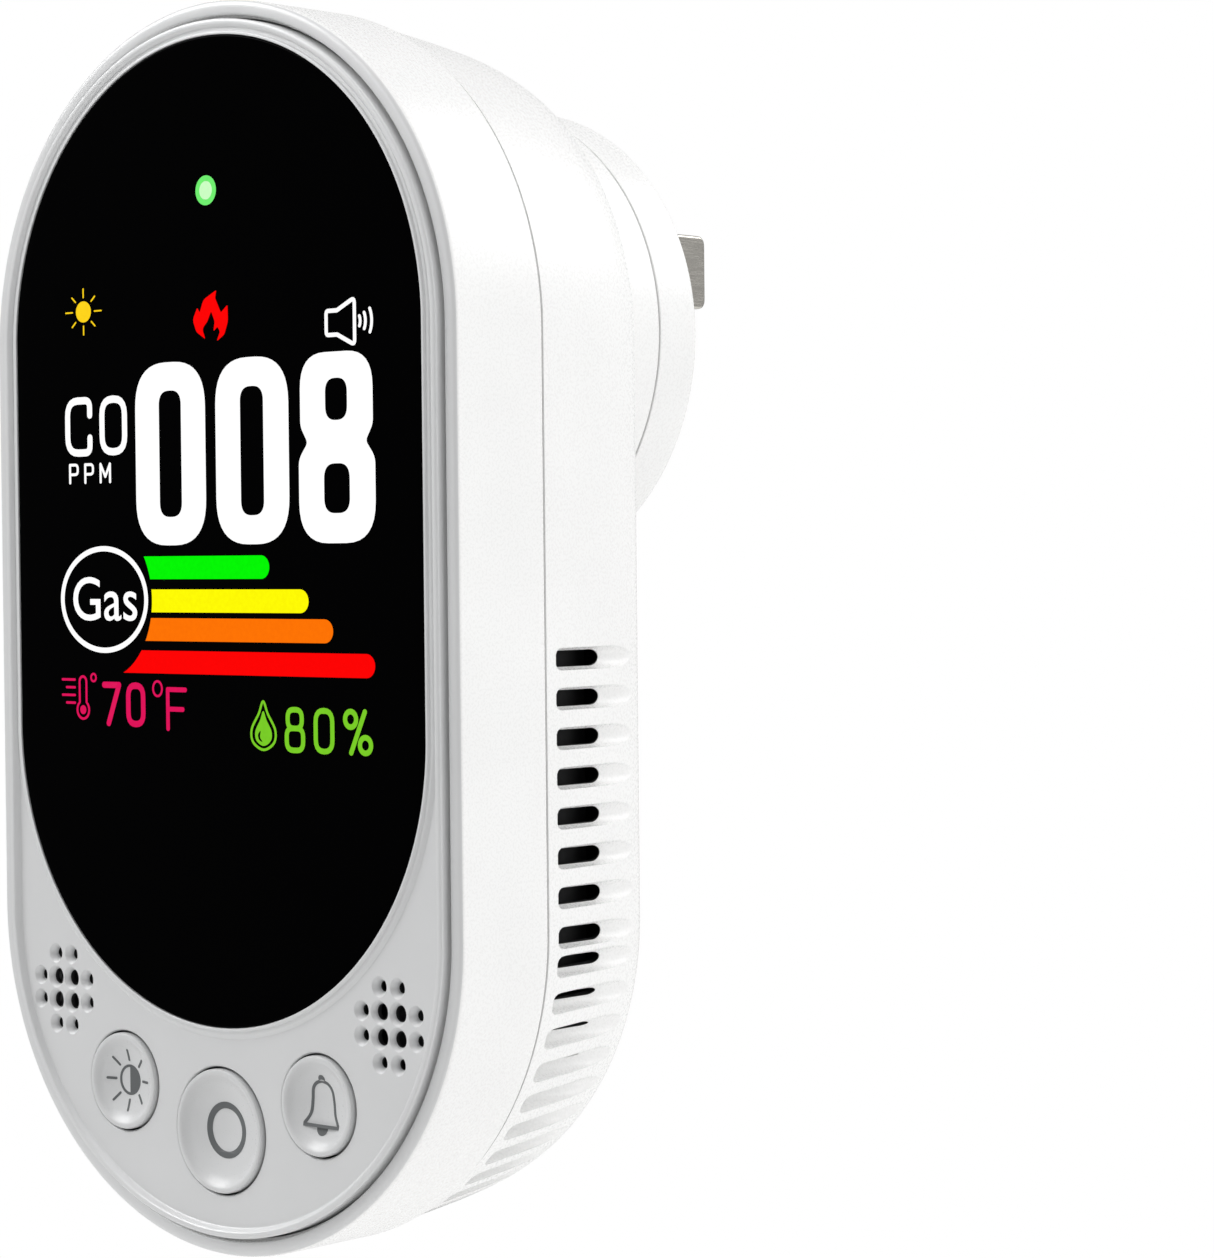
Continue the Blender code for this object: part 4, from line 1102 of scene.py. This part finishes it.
def plug_cap():
    """The twist-off head: a rounded disc with two ring grooves and two blade slots."""
    groove, deep = 0.36, 0.18
    face = []
    for radius in (PLUG_RADIUS - 1.75, PLUG_RADIUS - 2.95):
        face += [(radius + groove, PLUG_FACE), (radius + groove * 0.3, PLUG_FACE - deep),
                 (radius - groove * 0.3, PLUG_FACE - deep), (radius - groove, PLUG_FACE)]
    rim, inner = PLUG_SPLIT + 0.05, PLUG_RADIUS - 1.8
    corners = [(PLUG_RADIUS - 1.2, PLUG_FACE, 0), (PLUG_RADIUS, PLUG_FACE, 1.0), (PLUG_RADIUS, rim, 0.1),
               (inner, rim, 0)]
    edge = filleted(corners, closed=False, steps=7)
    inside = [(inner, PLUG_FACE - 2.2), (1.0, PLUG_FACE - 2.2)]
    cap = turned("plug_cap_shell", [(1.0, PLUG_FACE)] + face[::-1] + edge + inside, 0, PLUG_HEIGHT, 176)
    notch = box_outline(PLUG_RADIUS, 0, 3.4, 2 * LATCH_RADIUS + 0.2, 0.2)
    cut(cap, prism("tongue_notch", notch, PLUG_SPLIT - 1, PLUG_SPLIT + 0.8, spot_along))
    for side in ("left", "right"):
        low, high = extent("blade_" + side)
        slot = box_outline(*centre("blade_" + side), high.x - low.x + 0.1, high.z - low.z + 0.1, 0.25)
        cut(cap, prism("blade_slot", slot, PLUG_FACE - 4, PLUG_FACE + 1, facing))
    polish(cap, WHITE, "plug_head", ["plug_cap"])
    marks = raised_word("OPEN", 12.6, -37, 10.6, 2.3) + raised_word("LOCK", 12.6, 189, 11.2, 2.3)
    marks += [raised_arrow("open_arrow", 13.6, -45, -55), raised_arrow("lock_arrow", 13.6, 231, 241)]
    polish(merged("plug_marks", marks), WHITE, "plug_head", crease=25)


def blade(side):
    """A plug blade with rounded corners at its tip and a round hole through it."""
    low, high = extent("blade_" + side)
    x, z = centre("blade_" + side)
    thick, half = (high.x - low.x) / 2, (high.z - low.z) / 2
    root, tip = low.y - FACE_Y, high.y - FACE_Y

    def place(depth, height, across):
        return spot(x + across, depth, z + height)

    outline = filleted([(root, -half, 0), (tip, -half, 0.9), (tip, half, 0.9), (root, half, 0)], steps=8)
    shape = prism("plug_blade_" + side, outline, -thick, thick, place)
    bevel(shape, 0.28)
    shape = to_mesh("plug_blade_" + side, shape)
    hole = circle(tip - BLADE_HOLE_FROM_TIP, 0, BLADE_HOLE, 40)
    cut(shape, prism("blade_hole", hole, -3, 3, place))
    polish(shape, NICKEL, "plug_head", ["blade_" + side], crease=40)


# ---------------------------------------------------------------- release latch
def release_latch():
    """The thumb button of the latch: a tab with a round end, a step, a slope and a crescent dimple."""
    u, v = LATCH_REACH, LATCH_RADIUS
    outline = [(LATCH_INNER, v), (LATCH_INNER, -v)] + arc(u, 0, v, -90, 90, 28)
    low = BACK - RECESS - 0.3
    tab = prism("release_latch_button", outline, low, LATCH_TOP, spot_along)
    far = u + v + 2
    slope = (LATCH_TOP - LATCH_TIP) / (u + v - LATCH_STEP)
    top, clear = LATCH_TOP - 0.25, LATCH_TOP + 3
    wedge = [(LATCH_STEP, top), (far, top - slope * (far - LATCH_STEP)), (far, clear), (LATCH_STEP, clear)]
    cut(tab, prism("slope", wedge, -6, 6, lambda reach, depth, across: spot_along(reach, across, depth)))
    bevel(tab, 0.3)
    tab = to_mesh("release_latch_button", tab)
    dimple = [(1.0, -0.55), (1.7, -0.46), (2.2, -0.12), (2.3, 0.3), (2.3, 1.2), (1.0, 1.2)]
    ring = turned("thumb_dimple", dimple, 0, 0, 40, looped=True)
    lean = atan2(slope, 1.0)
    down = Matrix.Rotation(-radians(LATCH_ANGLE), 4, "Y") @ Matrix.Rotation(-lean, 4, "Z")
    middle = top - slope * (u - 0.1 - LATCH_STEP)
    ring.data.transform(Matrix.Translation(-spot(0, 0, 0)))
    ring.data.transform(Matrix.Translation(spot_along(u - 0.1, 0, middle)) @ down)
    cut(tab, ring)
    polish(tab, WHITE, "release_latch", ["release_latch"], crease=45)
    # Painted shade: the stem under the tab is near-black, for the shaded side of the latch in the gap below
    # the back face.
    stem = prism("release_latch_stem", circle(u - 0.8, 0, v - 1.1, 32), BACK - 2.2, low + 0.05, spot_along)
    polish(to_mesh("release_latch_stem", stem), PAINTED_SHADE_BLACK, "release_latch", crease=45)


# ---------------------------------------------------------------- camera, light and floor
def softbox(name, place, aim, size, power):
    lamp = bpy.data.lights.new(name, "AREA")
    lamp.shape = "RECTANGLE"
    lamp.size, lamp.size_y = size
    lamp.energy = power
    made = bpy.data.objects.new(name, lamp)
    made.location = place
    made.rotation_euler = (Vector(aim) - Vector(place)).to_track_quat("-Z", "Y").to_euler()
    bpy.context.scene.collection.objects.link(made)


def camera():
    """A long lens at the right of the display, a little above the middle of the housing."""
    lens_data = bpy.data.cameras.new("camera")
    lens_data.lens = 99.57
    lens_data.clip_start = 0.01
    made = bpy.data.objects.new("camera", lens_data)
    around, up, roll = radians(41.15), radians(1.27), radians(-0.57)
    aim = Matrix.Rotation(around, 4, "Z") @ Matrix.Rotation(pi / 2 - up, 4, "X")
    place = Matrix.Translation((0.2002, -0.2185, -0.0177))
    made.matrix_world = place @ (aim @ Matrix.Rotation(roll, 4, "Z"))
    bpy.context.scene.collection.objects.link(made)
    bpy.context.scene.camera = made


def studio():
    """Soft light from the right, above and behind, a dim even surround and a white backdrop."""
    scene = bpy.context.scene
    scene.view_settings.view_transform = "Standard"
    world = bpy.data.worlds.new("studio")
    scene.world = world
    world.use_nodes = True
    tree = world.node_tree
    way = add_node(tree, "TexCoord", {}, {}).outputs["Generated"]
    up = add_node(tree, "SeparateXYZ", {}, {"Vector": way}).outputs["Z"]
    shades = {"From Min": -1.0, "To Min": 0.28, "To Max": 0.54}
    shade = add_node(tree, "MapRange", shades, {"Value": up}).outputs["Result"]
    surround = tree.nodes["Background"]
    surround.inputs["Strength"].default_value = 1.0
    tree.links.new(shade, surround.inputs["Color"])
    backdrop = add_node(tree, "Background", {"Strength": 1.0, "Color": (1, 1, 1, 1)}, {})
    seen = add_node(tree, "LightPath", {}, {}).outputs["Is Camera Ray"]
    both = {"Fac": seen, 1: surround.outputs["Background"], 2: backdrop.outputs["Background"]}
    mix = add_node(tree, "MixShader", {}, both)
    tree.links.new(mix.outputs["Shader"], tree.nodes["World Output"].inputs["Surface"])
    middle = (0, -0.015, MIDDLE_Z * MM)
    softbox("right_light", (0.7, 0.2, 0.12), middle, (0.6, 0.8), 2.3)
    softbox("top_light", (0.15, -0.02, 0.8), middle, (0.7, 0.7), 2.2)
    softbox("rear_light", (0.35, 0.65, 0.5), middle, (0.5, 0.5), 2.1)
    softbox("front_light", (-0.6, -0.45, 0.5), middle, (0.5, 0.5), 5.0)


def floor():
    """A pale round floor well below the detector, which hangs from its plug; it fades into the backdrop."""
    bm = bmesh.new()
    bmesh.ops.create_circle(bm, cap_ends=True, segments=96, radius=1.2)
    mesh = bpy.data.meshes.new("floor")
    bm.to_mesh(mesh)
    bm.free()
    made = bpy.data.objects.new("floor", mesh)
    made.location = (0, 0, CAD_BOUNDS[0][2] - 0.25)
    bpy.context.scene.collection.objects.link(made)
    pale, tree, shader = new_material("pale_floor")
    shader.inputs["Roughness"].default_value = 0.8
    tree.links.new(tinted(tree, noise(tree, 120.0), (0.93, 0.93, 0.925), 0.01), shader.inputs["Base Color"])
    shader.inputs["Emission Color"].default_value = (1, 1, 1, 1)
    place = add_node(tree, "TexCoord", {}, {}).outputs["Object"]
    away = add_node(tree, "VectorMath", {}, {0: place})
    away.operation = "LENGTH"
    near_to_far = {"From Min": 0.1, "From Max": 0.9}
    fade = add_node(tree, "MapRange", near_to_far, {"Value": away.outputs["Value"]})
    fade.interpolation_type = "SMOOTHSTEP"
    seen = add_node(tree, "LightPath", {}, {}).outputs["Is Camera Ray"]
    share = add_node(tree, "Math", {}, {0: fade.outputs["Result"], 1: seen})
    share.operation = "MULTIPLY"
    tree.links.new(share.outputs["Value"], shader.inputs["Emission Strength"])
    mesh.materials.append(pale)


camera()
studio()
floor()
case_front()
case_rear()
vent_shade_sheet()
front_bezel()
lens()
buttons()
button_icons()
readout()
level_bars()
sun_icon()
flame_icon()
speaker_icon()
climate_rows()
status_light()
plug_cap()
blade("left")
blade("right")
release_latch()
